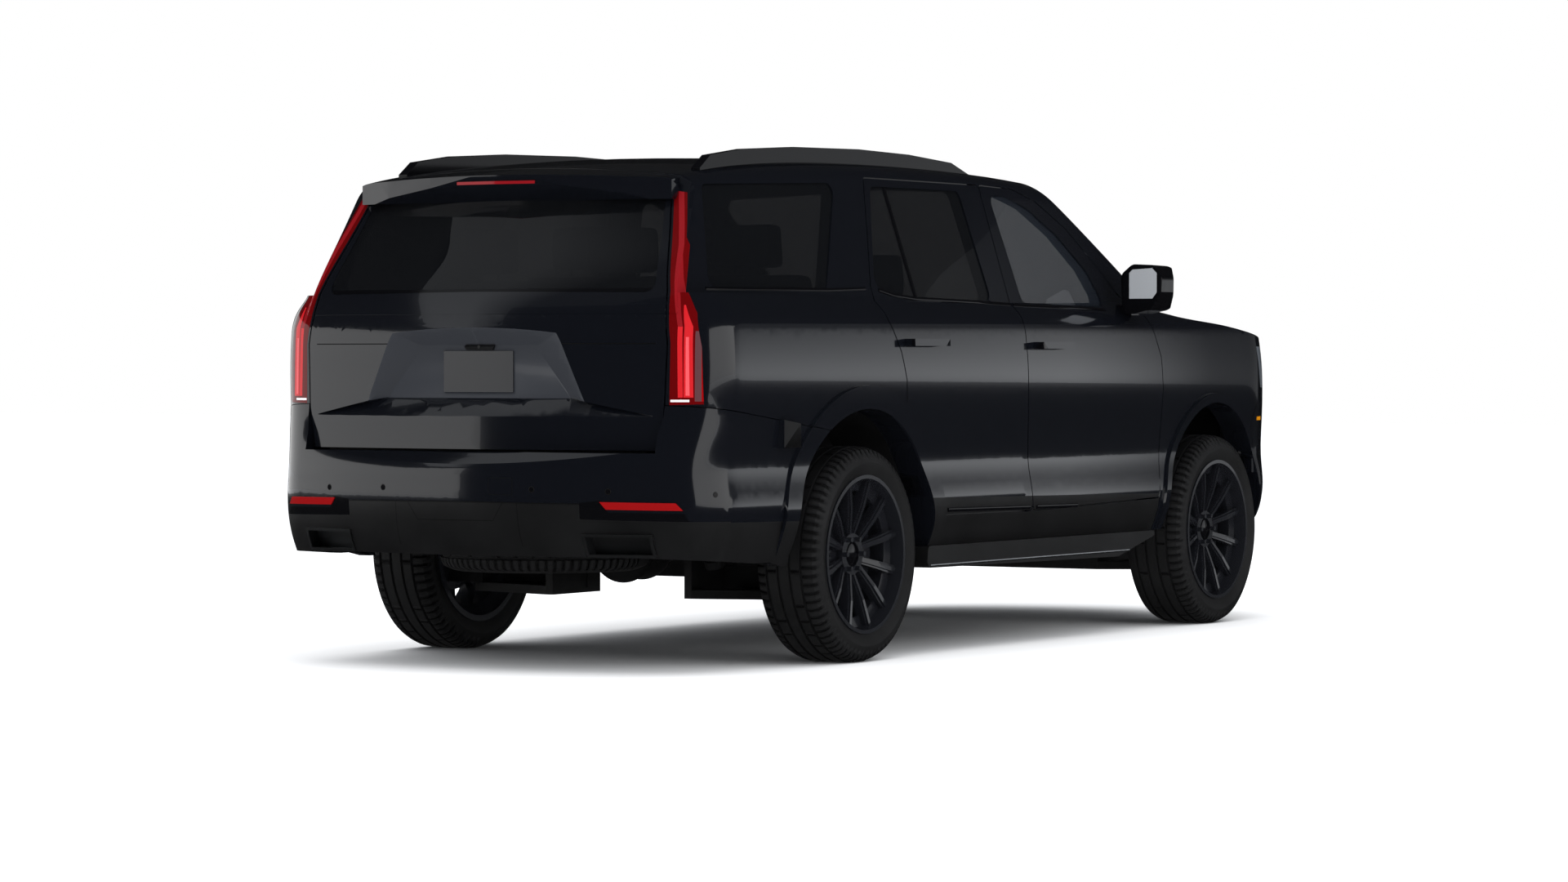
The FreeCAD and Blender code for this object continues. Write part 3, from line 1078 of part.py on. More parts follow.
# ---- mirrors ---------------------------------------------------------------------------
head = along_y(xz(mirror_shares), -half_length, mirror_back, mirror_corner)
head = head.common(along_x(yz(mirror_side_shares), 0, far_x, mirror_corner))
head = head.common(along_z(xy(mirror_plan_shares), 0, height, mirror_corner))
stalk = box(mirror_foot_x, mirror_foot_out, mirror_foot_y0, mirror_foot_y1, mirror_foot_z0, mirror_foot_z1)
stalk = stalk.cut(outer)
mirror = head.fuse(stalk)
pieces = solids_of(mirror)
print("mirror pieces", len(pieces))
mirror = max(pieces, key=lambda s: s.Volume)
save("mirror_left", mirror)
save("mirror_right", mirrored(mirror))

# ---- grille ------------------------------------------------------------------------------
bars = []
grille_low, grille_high = height*grille_shares[0][1], height*grille_shares[-1][1]
for i in range(grille_bars):
    z = grille_low + (grille_high - grille_low)*(i + 0.5)/grille_bars
    bars.append(box(-length, length, -length, length, z - grille_bar_wall/2, z + grille_bar_wall/2))
grille_block = lower_form(grille_inset).cut(lower_form(grille_inset + grille_depth)).common(along_y(grille_ring, -length, -half_length + overrun, 0.0, -seat_gap))
inner_ring = along_y(grille_ring, -length, -half_length + overrun, 0.0, -grille_frame)
grille_frame_part = grille_block.cut(inner_ring)
grille_bars_part = grille_block.common(inner_ring).common(Part.makeCompound(bars))
grille = grille_frame_part.fuse(solids_of(grille_bars_part))
pieces = solids_of(grille)
print("grille pieces", len(pieces))
save("grille", max(pieces, key=lambda s: s.Volume))
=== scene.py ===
# %% [markdown]
# A full-size off-road estate car, seen from behind its right rear corner.
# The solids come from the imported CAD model, and this script dresses them:
# paint, glass, rubber and leather, with the small parts that a CAD model leaves out.
# Every number is in metres unless its name says otherwise.

# %% Load the frame
import json
import math
import bmesh
import bpy
import numpy as np
from mathutils import Matrix, Vector
from mathutils.bvhtree import BVHTree
from mathutils.interpolate import poly_3d_calc


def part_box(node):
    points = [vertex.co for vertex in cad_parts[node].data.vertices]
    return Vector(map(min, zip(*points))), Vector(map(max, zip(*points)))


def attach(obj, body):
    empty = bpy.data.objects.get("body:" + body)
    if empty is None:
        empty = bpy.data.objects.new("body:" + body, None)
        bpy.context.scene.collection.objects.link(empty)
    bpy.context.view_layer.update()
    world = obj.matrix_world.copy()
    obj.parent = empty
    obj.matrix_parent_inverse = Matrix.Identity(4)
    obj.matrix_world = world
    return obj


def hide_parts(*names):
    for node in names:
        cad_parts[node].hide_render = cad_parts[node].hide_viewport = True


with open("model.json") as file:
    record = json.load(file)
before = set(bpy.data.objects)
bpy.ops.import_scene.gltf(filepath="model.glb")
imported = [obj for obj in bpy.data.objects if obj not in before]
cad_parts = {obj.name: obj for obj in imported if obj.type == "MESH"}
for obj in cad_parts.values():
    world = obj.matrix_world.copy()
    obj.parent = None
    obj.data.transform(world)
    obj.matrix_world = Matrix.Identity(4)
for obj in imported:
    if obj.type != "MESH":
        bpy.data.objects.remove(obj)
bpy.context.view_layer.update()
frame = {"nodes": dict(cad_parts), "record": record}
nodes = frame["nodes"]
scene = bpy.context.scene

# %% [markdown]
# Colours are written as on a screen, in sRGB hex. Blender's shaders work in linear light,
# so one function turns every colour, and nothing else in the script does.


# %% Colour and material helpers
def hex_colour(text):
    parts = [int(text[i:i + 2], 16) / 255 for i in (0, 2, 4)]
    return tuple(c / 12.92 if c <= 0.04045 else ((c + 0.055) / 1.055) ** 2.4 for c in parts) + (1.0,)


def add_node(tree, kind, settings=None, links=None):
    """Adds a node, sets its properties or sockets, and links {socket: (node, output)} into it."""
    node = tree.nodes.new(kind)
    for key, value in (settings or {}).items():
        if hasattr(node, key) and not key.isdigit():
            setattr(node, key, value)
        else:
            node.inputs[int(key) if key.isdigit() else key].default_value = value
    for key, (source, output) in (links or {}).items():
        tree.links.new(source.outputs[output], node.inputs[int(key) if key.isdigit() else key])
    return node


def new_material(name, **sockets):
    material = bpy.data.materials.new(name)
    material.use_nodes = True
    for key, value in sockets.items():
        material.node_tree.nodes["Principled BSDF"].inputs[key.replace("_", " ")].default_value = value
    add_node(material.node_tree, "ShaderNodeTexCoord")
    return material


def parts_of(material):
    """The tree of a material, its shader and its coordinates."""
    tree = material.node_tree
    return tree, tree.nodes["Principled BSDF"], tree.nodes["Texture Coordinate"]


# %% [markdown]
# No real surface is one even value: plastic, glass and metal are a little cloudy. A noise moves
# the roughness, or the colour, between two close values. It could be painted as an image, but
# a noise keeps its real size on every part. Object coordinates are in metres, so a noise of
# scale 1000 has patches of one millimetre, and the comments give that size.


# %% Patterns for roughness and colour
def vary_roughness(material, scale, low, high, detail=2.0):
    tree, shader, place = parts_of(material)
    patches = add_node(tree, "ShaderNodeTexNoise", {"Scale": scale, "Detail": detail}, {"Vector": (place, "Object")})
    worn = add_node(tree, "ShaderNodeMapRange", {"To Min": low, "To Max": high}, {"Value": (patches, "Fac")})
    tree.links.new(worn.outputs["Result"], shader.inputs["Roughness"])


def vary_colour(material, scale, low, high, detail=2.0, span=(0.0, 1.0)):
    tree, shader, place = parts_of(material)
    patches = add_node(tree, "ShaderNodeTexNoise", {"Scale": scale, "Detail": detail}, {"Vector": (place, "Object")})
    ramp = add_node(tree, "ShaderNodeValToRGB", None, {"Fac": (patches, "Fac")})
    for element, at, colour in zip(ramp.color_ramp.elements, span, (low, high)):
        element.position, element.color = at, hex_colour(colour)
    tree.links.new(ramp.outputs["Color"], shader.inputs["Base Color"])


# %% [markdown]
# The paint is gloss black solvent paint under a clear coat. The colour itself is almost
# nothing, and what the eye reads is the mirror-like reflection, so the shader is a dark base
# with a smooth coat, and only fine specks stand for the pigment. The recess round the number
# plate is the same black on the car. Here it gets a semi-gloss lacquer, because full gloss would
# show every facet of its corners, and its mid grey colour is a painted reflection of the bright room.

# %% Gloss black body paint
paint = new_material(
    "gloss_black_sprayed_lacquer", Base_Color=hex_colour("0b0c10"), Roughness=0.12, IOR=1.5,
    Coat_Weight=0.6, Coat_Roughness=0.02)
vary_colour(paint, 420.0, "090a0e", "0f1116")  # specks of 2.4 mm
# Mid grey in the plate recess is a painted reflection: on the car the recess is the same black paint.
recess_painted_reflection = new_material(
    "semi_gloss_lacquer_painted_reflection", Base_Color=hex_colour("33353a"), Roughness=0.34, IOR=1.5,
    Coat_Weight=0.2, Coat_Roughness=0.1)
vary_roughness(recess_painted_reflection, 300.0, 0.3, 0.38)  # spray mist of 3.3 mm
print("paint", [round(c, 4) for c in hex_colour("0b0c10")[:3]], "in linear light")

# %% [markdown]
# Window borders and caps are piano black: a plastic moulded in a polished tool. Lower bumpers,
# tyres, seats and chassis parts are grained, cast or waxed, and scatter the light. Those differ
# only in colour, grain and depth, so one function makes them all.

# %% Plastic, rubber and leather
gloss_trim = new_material(
    "piano_black_moulded_abs", Base_Color=hex_colour("08080a"), Roughness=0.08, IOR=1.5, Specular_IOR_Level=0.3)
vary_roughness(gloss_trim, 35.0, 0.05, 0.14, 4.0)  # wiping swirls of 29 mm


def grained(name, low, high, roughness, grain_mm, depth, **sockets):
    """A fine grain in bump, with clouds of 250 mm in the colour."""
    material = new_material(name, Roughness=roughness, **sockets)
    vary_colour(material, 4.0, low, high, 3.0, (0.3, 0.7))
    tree, shader, place = parts_of(material)
    grain = add_node(tree, "ShaderNodeTexNoise", {"Scale": 1000.0 / grain_mm, "Detail": 3.0, "Roughness": 0.6},
                     {"Vector": (place, "Object")})
    bump = add_node(tree, "ShaderNodeBump", {"Strength": 0.5, "Distance": depth}, {"Height": (grain, "Fac")})
    tree.links.new(bump.outputs["Normal"], shader.inputs["Normal"])
    return material


satin_plastic = grained("satin_black_moulded_polypropylene", "0d0d0e", "151516", 0.42, 1.6, 0.0004)
rubber = grained("vulcanised_tyre_rubber", "121213", "1b1b1c", 0.62, 2.5, 0.0006)
trim_plastic = grained("grained_dashboard_vinyl", "161617", "1e1e20", 0.55, 2.2, 0.0005)
leather = grained("dyed_cowhide_leather", "1b1a1a", "262423", 0.48, 2.8, 0.0006)
black_line = grained("black_rubber_joint", "030303", "060606", 0.7, 2.0, 0.0002)
print("materials", len(bpy.data.materials))

# %% [markdown]
# The rims are cast alloy under gloss black, with fine specks in the lacquer. The frame is
# waxed steel, the differential is cast iron, and the exhaust and trim strips are bright metal
# whose brushing marks widen the reflection.

# %% Metals
chassis_steel = grained("waxed_chassis_steel", "101011", "1a1a1b", 0.5, 5.0, 0.0008)
cast_iron = grained("sand_cast_iron", "1c1c1d", "29292a", 0.6, 3.0, 0.001, Metallic=0.6)
alloy_black = new_material(
    "gloss_black_painted_alloy", Base_Color=hex_colour("16171a"), Roughness=0.2, IOR=1.5,
    Coat_Weight=0.5, Coat_Roughness=0.03)
vary_colour(alloy_black, 300.0, "141518", "1d1e22")  # specks of 3.3 mm
steel = new_material(
    "brushed_stainless_steel", Metallic=1.0, Roughness=0.28, Base_Color=hex_colour("8f9194"))
vary_roughness(steel, 900.0, 0.22, 0.4)  # brushing marks of 1.1 mm
bright_trim = new_material(
    "satin_chromed_trim", Metallic=1.0, Roughness=0.22, Base_Color=hex_colour("b9bbbe"))
vary_roughness(bright_trim, 700.0, 0.16, 0.28)  # brushing marks of 1.4 mm
# The mirror is only part metal, and the rest is a diffuse light grey: a painted reflection of the bright room.
mirror_glass = new_material(
    "silvered_mirror_glass_painted_reflection", Metallic=0.4, Roughness=0.08, Base_Color=hex_colour("c9ccd0"))
print("materials", len(bpy.data.materials))

# %% [markdown]
# The rear panes are dyed so dark that the cabin only shows as shapes. True refraction through
# thin closed panes is slow and noisy, so a pane is a dark mirror that lets a share of the view
# through (alpha). Lamp covers are acrylic over a reflector: from outside they read as one deep
# colour with a gloss, so most lenses are opaque, and the light guide has a faint glow, a painted
# reflection that stands in for the light its reflector throws back.


# %% Glass and lenses
def glazing(name, colour, roughness=0.0, alpha=1.0, transmission=0.0):
    material = new_material(
        name, Base_Color=hex_colour(colour), Roughness=roughness, IOR=1.45, Transmission_Weight=transmission,
        Alpha=alpha)
    vary_roughness(material, 6.0, roughness, roughness + 0.02)  # a film in patches of 170 mm
    return material


privacy_glass = glazing("privacy_tinted_toughened_glass", "0e0f11", alpha=0.82)
clear_glass = glazing("green_tinted_toughened_glass", "20242a", alpha=0.55)
lamp_red = glazing("dark_red_moulded_acrylic", "5a0507", 0.03)
guide_red = glazing("red_light_guide_acrylic_painted_glow", "b81c22", 0.12)
# The glow is painted light: a faint red emission standing in for the light the reflector throws back.
glow = guide_red.node_tree.nodes["Principled BSDF"].inputs
glow["Emission Color"].default_value = hex_colour("f01c24")
glow["Emission Strength"].default_value = 0.1
# The pale core down the middle of the light guide is a painted highlight.
guide_painted_highlight = glazing("light_guide_painted_highlight_acrylic", "e2545a", 0.12)
guide_dim = glazing("dim_red_light_guide_acrylic", "82141a", 0.1)
bar_red = glazing("deep_red_reflector_acrylic", "8e0406", 0.06)
reflex_red = glazing("red_prismatic_reflector_acrylic", "8c0508", 0.15)
amber_lens = glazing("amber_moulded_acrylic", "d98a12", 0.08)
smoke_lens = glazing("smoked_moulded_acrylic", "57383b", 0.03)
foot_white = glazing("white_moulded_acrylic", "f4f4f4", 0.2)
clear_lens = glazing("clear_moulded_polycarbonate", "8a8f96", 0.02, transmission=0.6)
print("materials", len(bpy.data.materials))

# %% [markdown]
# Every CAD solid knows what it is made of: its record names a slot. A table turns the slots
# into the finishes above, so a whole car is dressed before any piece is modelled.

# %% Give every CAD node its finish
finishes = {
    "paint": paint, "paint_dark": chassis_steel, "chassis_steel": chassis_steel, "glass_clear": clear_glass,
    "glass_privacy": privacy_glass, "black_plastic": satin_plastic, "gloss_black": gloss_trim, "red_lens": lamp_red,
    "clear_lens": clear_lens, "tyre_rubber": rubber, "alloy_black": alloy_black, "cast": cast_iron, "steel": steel,
    "leather": leather, "trim": trim_plastic}
slot_of = {part["node"]: part["material_slot"] for part in frame["record"]["subparts"]}
body_of = {node: body for body, names in frame["record"]["behaviour"]["bodies"].items() for node in names}
for name, node in nodes.items():
    node.data.materials.clear()
    node.data.materials.append(finishes[slot_of[name]])
    node.data.polygons.foreach_set("material_index", [0] * len(node.data.polygons))
print("finishes", len(finishes))

# %% [markdown]
# A mirror finish shows every facet of a triangle mesh. The real panels are smooth curves,
# so a dense guide surface is drawn through the same measured sections as the CAD body.
# Each painted panel borrows its surface directions from that guide, and its shape stays as it is.


# %% Curves through the measured sections
def smooth_through(xs, ys, at):
    """Natural cubic spline through the points."""
    xs, ys, at = np.array(xs, float), np.array(ys, float), np.array(at, float)
    n = len(xs)
    h = np.diff(xs)
    a = np.zeros((n, n))
    b = np.zeros(n)
    a[0, 0] = a[-1, -1] = 1
    for i in range(1, n - 1):
        a[i, i - 1:i + 2] = h[i - 1], 2 * (h[i - 1] + h[i]), h[i]
        b[i] = 3 * ((ys[i + 1] - ys[i]) / h[i] - (ys[i] - ys[i - 1]) / h[i - 1])
    c = np.linalg.solve(a, b)
    i = np.clip(np.searchsorted(xs, at) - 1, 0, n - 2)
    d = at - xs[i]
    slope = (ys[i + 1] - ys[i]) / h[i] - h[i] * (2 * c[i] + c[i + 1]) / 3
    return ys[i] + slope * d + c[i] * d ** 2 + (c[i + 1] - c[i]) / (3 * h[i]) * d ** 3


def arc(p, q, r, count):
    """Circular arc through three points of a plane."""
    p, q, r = (np.array(v, float) for v in (p, q, r))
    m = np.array([q - p, r - p])
    centre = p + np.linalg.solve(2 * m, (m ** 2).sum(1))
    angles = [math.atan2(*(v - centre)[::-1]) for v in (p, q, r)]
    turn = lambda a, b: (a - b + math.pi) % (2 * math.pi) - math.pi
    sweep = turn(angles[1], angles[0]) + turn(angles[2], angles[1])
    t = angles[0] + sweep * np.linspace(0, 1, count)
    radius = np.linalg.norm(p - centre)
    points = np.stack([centre[0] + radius * np.cos(t), centre[1] + radius * np.sin(t)], 1)
    way = np.stack([-np.sin(t), np.cos(t)], 1) * np.sign(sweep)
    return points, way[0], way[-1]


def corner(a, da, b, db, count):
    """Quadratic curve that leaves a along da and reaches b along db."""
    t = ((b[0] - a[0]) * db[1] - (b[1] - a[1]) * db[0]) / (da[0] * db[1] - da[1] * db[0])
    middle = a + da * t
    s = np.linspace(0, 1, count)[1:-1, None]
    return a * (1 - s) ** 2 + 2 * middle * s * (1 - s) + b * s * s


# %% Outline and mesh of a guide
TAIL_HALF, NOSE_HALF = 0.790, 0.640  # half widths at which the rounded corners start
SIDE_BACK, SIDE_FRONT = 2.290, -2.010  # where they start along the car
DRAWN_IN = 0.044  # how much narrower each flank is there


def plan_outline(w, rear, rear_sag, front, front_sag):
    """Half a plan outline of the body from the tail's middle round the left side to the nose."""
    wr = w - DRAWN_IN
    tail, _, tail_end = arc((-TAIL_HALF, rear - rear_sag), (0, rear), (TAIL_HALF, rear - rear_sag), 41)
    side, side_start, side_end = arc((wr, SIDE_BACK), (w, 0), (wr, SIDE_FRONT), 110)
    nose, nose_start, _ = arc((NOSE_HALF, front + front_sag), (0, front), (-NOSE_HALF, front + front_sag), 41)
    return np.concatenate([tail[20:], corner(tail[-1], tail_end, side[0], side_start, 16), side,
                           corner(side[-1], side_end, nose[0], nose_start, 24), nose[:21]])


def grid_through(rows):
    """Mesh through rows of points of equal length."""
    bm = bmesh.new()
    bmesh.ops.create_grid(bm, x_segments=len(rows[0]) - 1, y_segments=len(rows) - 1, size=1)
    bm.verts.ensure_lookup_table()
    for v, p in zip(bm.verts, [p for row in rows for p in row]):
        v.co = p
    return bm


# %% [markdown]
# The tables hold the measured sections. A level of the lower body or of the bumper is a plan
# outline at one height, a station of the cabin is a section across the car, and the back and
# the bonnet are slabs that bend a little across. Splines through the tables fill in the rest.

# %% Tables of the guide surfaces
# Height, half width, rear end and front end of the lower body.
level_table = [
    (0.330, 0.962, 2.566, -2.570), (0.480, 1.000, 2.580, -2.652), (0.590, 1.016, 2.586, -2.690),
    (0.650, 1.009, 2.588, -2.691), (0.705, 1.001, 2.588, -2.691), (0.735, 0.9995, 2.588, -2.691),
    (0.765, 1.0003, 2.588, -2.691), (0.805, 1.0025, 2.587, -2.690), (0.850, 1.0055, 2.586, -2.688),
    (1.000, 1.0168, 2.584, -2.676), (1.120, 1.0195, 2.582, -2.652), (1.232, 1.014, 2.578, -2.612),
    (1.285, 1.004, 2.568, -2.580), (1.330, 0.976, 2.552, -2.540), (1.375, 0.936, 2.536, -2.490)]
# Height, half width, rear end and sag of the ends of the rear bumper.
bumper_table = [
    (0.380, 0.974, 2.590, 0.120), (0.430, 0.987, 2.632, 0.132), (0.520, 1.005, 2.676, 0.142),
    (0.625, 1.012, 2.691, 0.146), (0.690, 1.003, 2.689, 0.145), (0.750, 1.000, 2.684, 0.142),
    (0.850, 1.006, 2.640, 0.118), (0.962, 1.013, 2.590, 0.094), (1.010, 1.016, 2.584, 0.092)]
# Place along the car, half width at the waist and roof height of the cabin.
station_table = [
    (-1.500, 0.880, 1.752), (-1.000, 0.935, 1.822), (-0.500, 0.954, 1.876), (0.0, 0.962, 1.905),
    (0.500, 0.963, 1.917), (1.000, 0.960, 1.917), (1.500, 0.944, 1.904), (1.950, 0.904, 1.874),
    (2.300, 0.848, 1.830), (2.700, 0.770, 1.768)]
# Place along the car and height, of the back and of the bonnet.
back_table = [
    (2.620, 1.100), (2.581, 1.232), (2.536, 1.381), (2.423, 1.568), (2.310, 1.755), (2.230, 1.895), (2.170, 2.000)]
deck_table = [
    (-2.760, 1.130), (-2.620, 1.206), (-2.400, 1.262), (-2.100, 1.312), (-1.700, 1.356), (-1.300, 1.386),
    (-0.900, 1.400)]
LOWER_SAGS, NOSE = (0.092, 0.122), -2.691  # sag of the tail's and the nose's ends, and the nose's place
print("measured sections", sum(map(len, (level_table, bumper_table, station_table, back_table, deck_table))))


# %% Rows of points of each guide
def level_rows(table, count, outline_of, points=None):
    """Plan outlines at rising heights, from a table of heights and sizes."""
    z, *sizes = zip(*table)
    levels = np.linspace(z[0], z[-1], count)
    for level, *at in zip(levels, *(smooth_through(z, c, levels) for c in sizes)):
        yield [(x, y, level) for x, y in outline_of(*at)[:points]]


lower_rows = level_rows(
    level_table, 106, lambda w, rear, front: plan_outline(w, rear, LOWER_SAGS[0], front, LOWER_SAGS[1]))
bumper_rows = level_rows(bumper_table, 64, lambda w, rear, sag: plan_outline(w, rear, sag, NOSE, LOWER_SAGS[1]), 90)
WAIST, LEAN = 1.3, 0.256  # height of the waist, and how far the windows lean in per metre
EDGE_DROP, CROWN_DROP, CROWN_IN = 0.105, 0.033, 0.108  # the rounded edge between wall and roof
HALF_WIDTH = 1.03


def cabin_rows():
    y, w, top = zip(*station_table)
    stations = np.linspace(y[0], y[-1], 169)
    widths, tops = smooth_through(y, w, stations), smooth_through(y, top, stations)
    for station, width, roof in zip(stations, widths, tops):
        edge_z = roof - EDGE_DROP
        edge = np.array((width - LEAN * (edge_z - WAIST), edge_z))
        foot = np.array((width, WAIST))
        crown = np.array((edge[0] - CROWN_IN, roof - CROWN_DROP))
        top_arc, roof_way, _ = arc(crown, (0, roof), (-crown[0], crown[1]), 49)
        wall_way = (edge - foot) / np.linalg.norm(edge - foot)
        wall = [foot + (edge - foot) * s for s in np.linspace(0, 1, 24)]
        section = wall + list(corner(edge, wall_way, crown, roof_way, 20)) + list(top_arc[:25])
        yield [(x, station, z) for x, z in section]


def slab_rows(table, crown_share, upright):
    a, b = zip(*table)
    order = np.argsort(b if upright else a)
    key, other = (b, a) if upright else (a, b)
    key, other = np.array(key)[order], np.array(other)[order]
    steps = np.linspace(key[0], key[-1], 90)
    values = smooth_through(key, other, steps)
    for step, value in zip(steps, values):
        row = []
        for x in np.linspace(0, 1.1, 45):
            bend = crown_share * x * x / HALF_WIDTH
            row.append((x, value + bend, step) if upright else (x, step, value + bend))
        yield row


# %% Build the guides and ask them for directions
guides = []
for label, rows in (("lower body", lower_rows), ("rear bumper", bumper_rows), ("cabin", cabin_rows()),
                    ("back", slab_rows(back_table, -0.152, True)), ("bonnet", slab_rows(deck_table, -0.075, False))):
    surface = grid_through(list(rows))
    surface.normal_update()
    surface.faces.ensure_lookup_table()
    guides.append((surface, BVHTree.FromBMesh(surface)))
    print("guide", label, len(surface.verts))


def guide_normal(point, facing, reach):
    """Smooth surface direction of the nearest guide that faces the same way, or None."""
    side = 1.0 if point.x >= 0 else -1.0
    point = Vector((abs(point.x), point.y, point.z))
    facing = Vector((facing.x * side, facing.y, facing.z))
    best = None
    for surface, tree in guides:
        place, _, index, distance = tree.find_nearest(point, reach)
        if place is None:
            continue
        verts = surface.faces[index].verts
        weights = poly_3d_calc([v.co for v in verts], place)
        normal = sum((v.normal * w for v, w in zip(verts, weights)), Vector())
        normal.normalize()
        if normal.dot(facing) < 0:
            normal = -normal
        if normal.dot(facing) > 0.94 and (best is None or distance < best[0]):
            best = (distance, normal)
    if best is None:
        return None
    return Vector((best[1].x * side, best[1].y, best[1].z))


# %% [markdown]
# A pressed panel has few corners, and a corner is where a direction can be stored. So each panel
# is copied, cut along planes six centimetres apart, and every corner of its outside is given the
# direction of the guide next to it. Other finishes on the same panel are zones: outlines cut
# into it as seen from one side. The shape stays that of the CAD solid.

# %% Cut a panel and fill its zones
PITCH = 0.06  # distance between the cuts
REACH = 0.02  # how far the outside may lie from its guide
TAIL_REACH = 0.007  # less for the gate, whose recess is close behind its face
CREASE = math.radians(28)
skins = {}


def cut_along(bm, faces, place, normal):
    geom = faces + list({e for f in faces for e in f.edges}) + list({v for f in faces for v in f.verts})
    bmesh.ops.bisect_plane(bm, geom=geom, dist=1e-6, plane_co=place, plane_no=normal)


def edges_of(outline):
    return list(zip(outline, outline[1:] + outline[:1]))


def inside_outline(point, outline, axes):
    """Whether the point lies in a convex outline of (a, b) pairs seen along the third axis."""
    a, b = point[axes[0]], point[axes[1]]
    turns = [(r - p) * (b - q) - (s - q) * (a - p) for (p, q), (r, s) in edges_of(outline)]
    return min(turns) > -1e-7 or max(turns) < 1e-7


def cut_grid(bm, marks, outside):
    for axis in range(3):
        low = min(v.co[axis] for f in outside for v in f.verts)
        high = max(v.co[axis] for f in outside for v in f.verts)
        normal = Vector([1.0 if i == axis else 0.0 for i in range(3)])
        for k in range(math.floor(low / PITCH) + 1, math.ceil(high / PITCH)):
            at = k * PITCH
            faces = [f for f in bm.faces
                     if f[marks] and min(v.co[axis] for v in f.verts) < at < max(v.co[axis] for v in f.verts)]
            if faces:
                cut_along(bm, faces, normal * at, normal)


def cut_zone(bm, marks, axes, way, outline):
    third = 3 - axes[0] - axes[1]
    lows = [min(v[i] for v in outline) - 0.002 for i in (0, 1)]
    highs = [max(v[i] for v in outline) + 0.002 for i in (0, 1)]
    for (p, q), (r, s) in edges_of(outline):
        normal, place = Vector(), Vector()
        normal[axes[0]], normal[axes[1]] = s - q, p - r
        place[axes[0]], place[axes[1]] = p, q
        faces = [f for f in bm.faces if f[marks] and f.normal[third] * way > 0.15 and all(
            max(v.co[axes[i]] for v in f.verts) > lows[i] and min(v.co[axes[i]] for v in f.verts) < highs[i]
            for i in (0, 1))]
        if faces:
            cut_along(bm, faces, place, normal.normalized())


def fill_zone(bm, marks, marked, least, axes, way, outline, index):
    third = 3 - axes[0] - axes[1]
    for f in bm.faces:
        if f[marks] == marked and f.normal[third] * way > least and inside_outline(
                f.calc_center_median(), outline, axes):
            f.material_index = index


# %% Dress a painted panel
def add_object(name, data):
    obj = bpy.data.objects.new(name, data)
    scene.collection.objects.link(obj)
    return obj


def borrow_directions(mesh, bm, marks, reach):
    """Gives the corners of the outside the directions of the guide."""
    normals = [(0.0, 0.0, 0.0)] * len(mesh.loops)
    bm.faces.ensure_lookup_table()
    cache = {}
    for polygon in mesh.polygons:
        face = bm.faces[polygon.index]
        if not face[marks]:
            continue
        for loop in polygon.loop_indices:
            vertex = mesh.loops[loop].vertex_index
            if vertex not in cache:
                cache[vertex] = guide_normal(mesh.vertices[vertex].co, face.normal, reach * 1.5)
            if cache[vertex] and cache[vertex].dot(face.normal) > 0.9:
                normals[loop] = tuple(cache[vertex])
    mesh.normals_split_custom_set(normals)


def dress_panel(name, reach=REACH, zones=(), deep_zones=()):
    """Stands for a CAD node; deep zones are for its faces away from the guide."""
    bm = bmesh.new()
    bm.from_mesh(nodes[name].data)
    bmesh.ops.remove_doubles(bm, verts=bm.verts, dist=1e-5)
    bm.normal_update()
    marks = bm.faces.layers.int.new("outside")
    outside = [f for f in bm.faces if guide_normal(f.calc_center_median(), f.normal, reach)]
    for f in outside:
        f[marks] = 1
    if outside:
        cut_grid(bm, marks, outside)
    for index, (_, *zone) in enumerate(zones, 1):
        cut_zone(bm, marks, *zone)
        fill_zone(bm, marks, 1, 0.15, *zone, index)
    for index, (_, *zone) in enumerate(deep_zones, len(zones) + 1):
        fill_zone(bm, marks, 0, 0.1, *zone, index)
    bmesh.ops.triangulate(bm, faces=bm.faces)
    mesh = bpy.data.meshes.new(name + "_skin")
    for f in bm.faces:
        f.smooth = True
    bm.to_mesh(mesh)
    mesh.set_sharp_from_angle(angle=CREASE)
    borrow_directions(mesh, bm, marks, reach)
    bm.free()
    skin = add_object(name + "_skin", mesh)
    for finish in [finishes[slot_of[name]]] + [zone[0] for zone in [*zones, *deep_zones]]:
        mesh.materials.append(finish)
    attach(skin, body_of[name])
    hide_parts(name)
    skins[name] = skin
    print("panel", name, len(mesh.polygons))


# %% [markdown]
# Some panels carry two finishes on one shape: the lower bumper is satin plastic under the paint,
# the door sills are clad, and the rear window has a gloss black border. In a tail lamp a bright
# light guide, whose faint glow is painted, runs down beside a smoked strip and a deep red bar, and
# its pale core is a painted highlight. Joints between mouldings are narrow dark zones. They could be
# grooves, but from a few metres a line two to four millimetres wide looks the same and leaves the shape alone.

# %% Outlines of zones
SIDE, TAIL = (1, 2), (0, 2)  # seen from the side in (y, z), from behind in (x, z)


def rect(a, b, c, d):
    return [(a, b), (c, b), (c, d), (a, d)]


def both_sides(finish, outline):
    return [(finish, SIDE, 1, outline), (finish, SIDE, -1, outline)]


def on_tail(finish, outline, mirrored=True):
    """Zones seen from behind, for the left and the right half."""
    found = [(finish, TAIL, 1, outline)]
    if mirrored:
        found.append((finish, TAIL, 1, [(-x, z) for x, z in outline]))
    return found


def seam_line(p, q, width=0.003, mirrored=True):
    """A dark joint between two mouldings, drawn as a narrow zone."""
    run = math.dist(p, q)
    across = ((p[1] - q[1]) / run * width / 2, (q[0] - p[0]) / run * width / 2)
    quad = [(v[0] + k * across[0], v[1] + k * across[1]) for v, k in ((p, -1), (q, -1), (q, 1), (p, 1))]
    return on_tail(black_line, quad, mirrored)


def strips(finish, centre_inner, centre_outer):
    """A band of the lamp between two lines, as convex pieces between their knots."""
    found = []
    for (a, za), (b, zb), (c, zc), (d, zd) in zip(centre_inner, centre_inner[1:], centre_outer, centre_outer[1:]):
        found += on_tail(finish, [(a, za), (b, zb), (d, zd), (c, zc)])
    return found


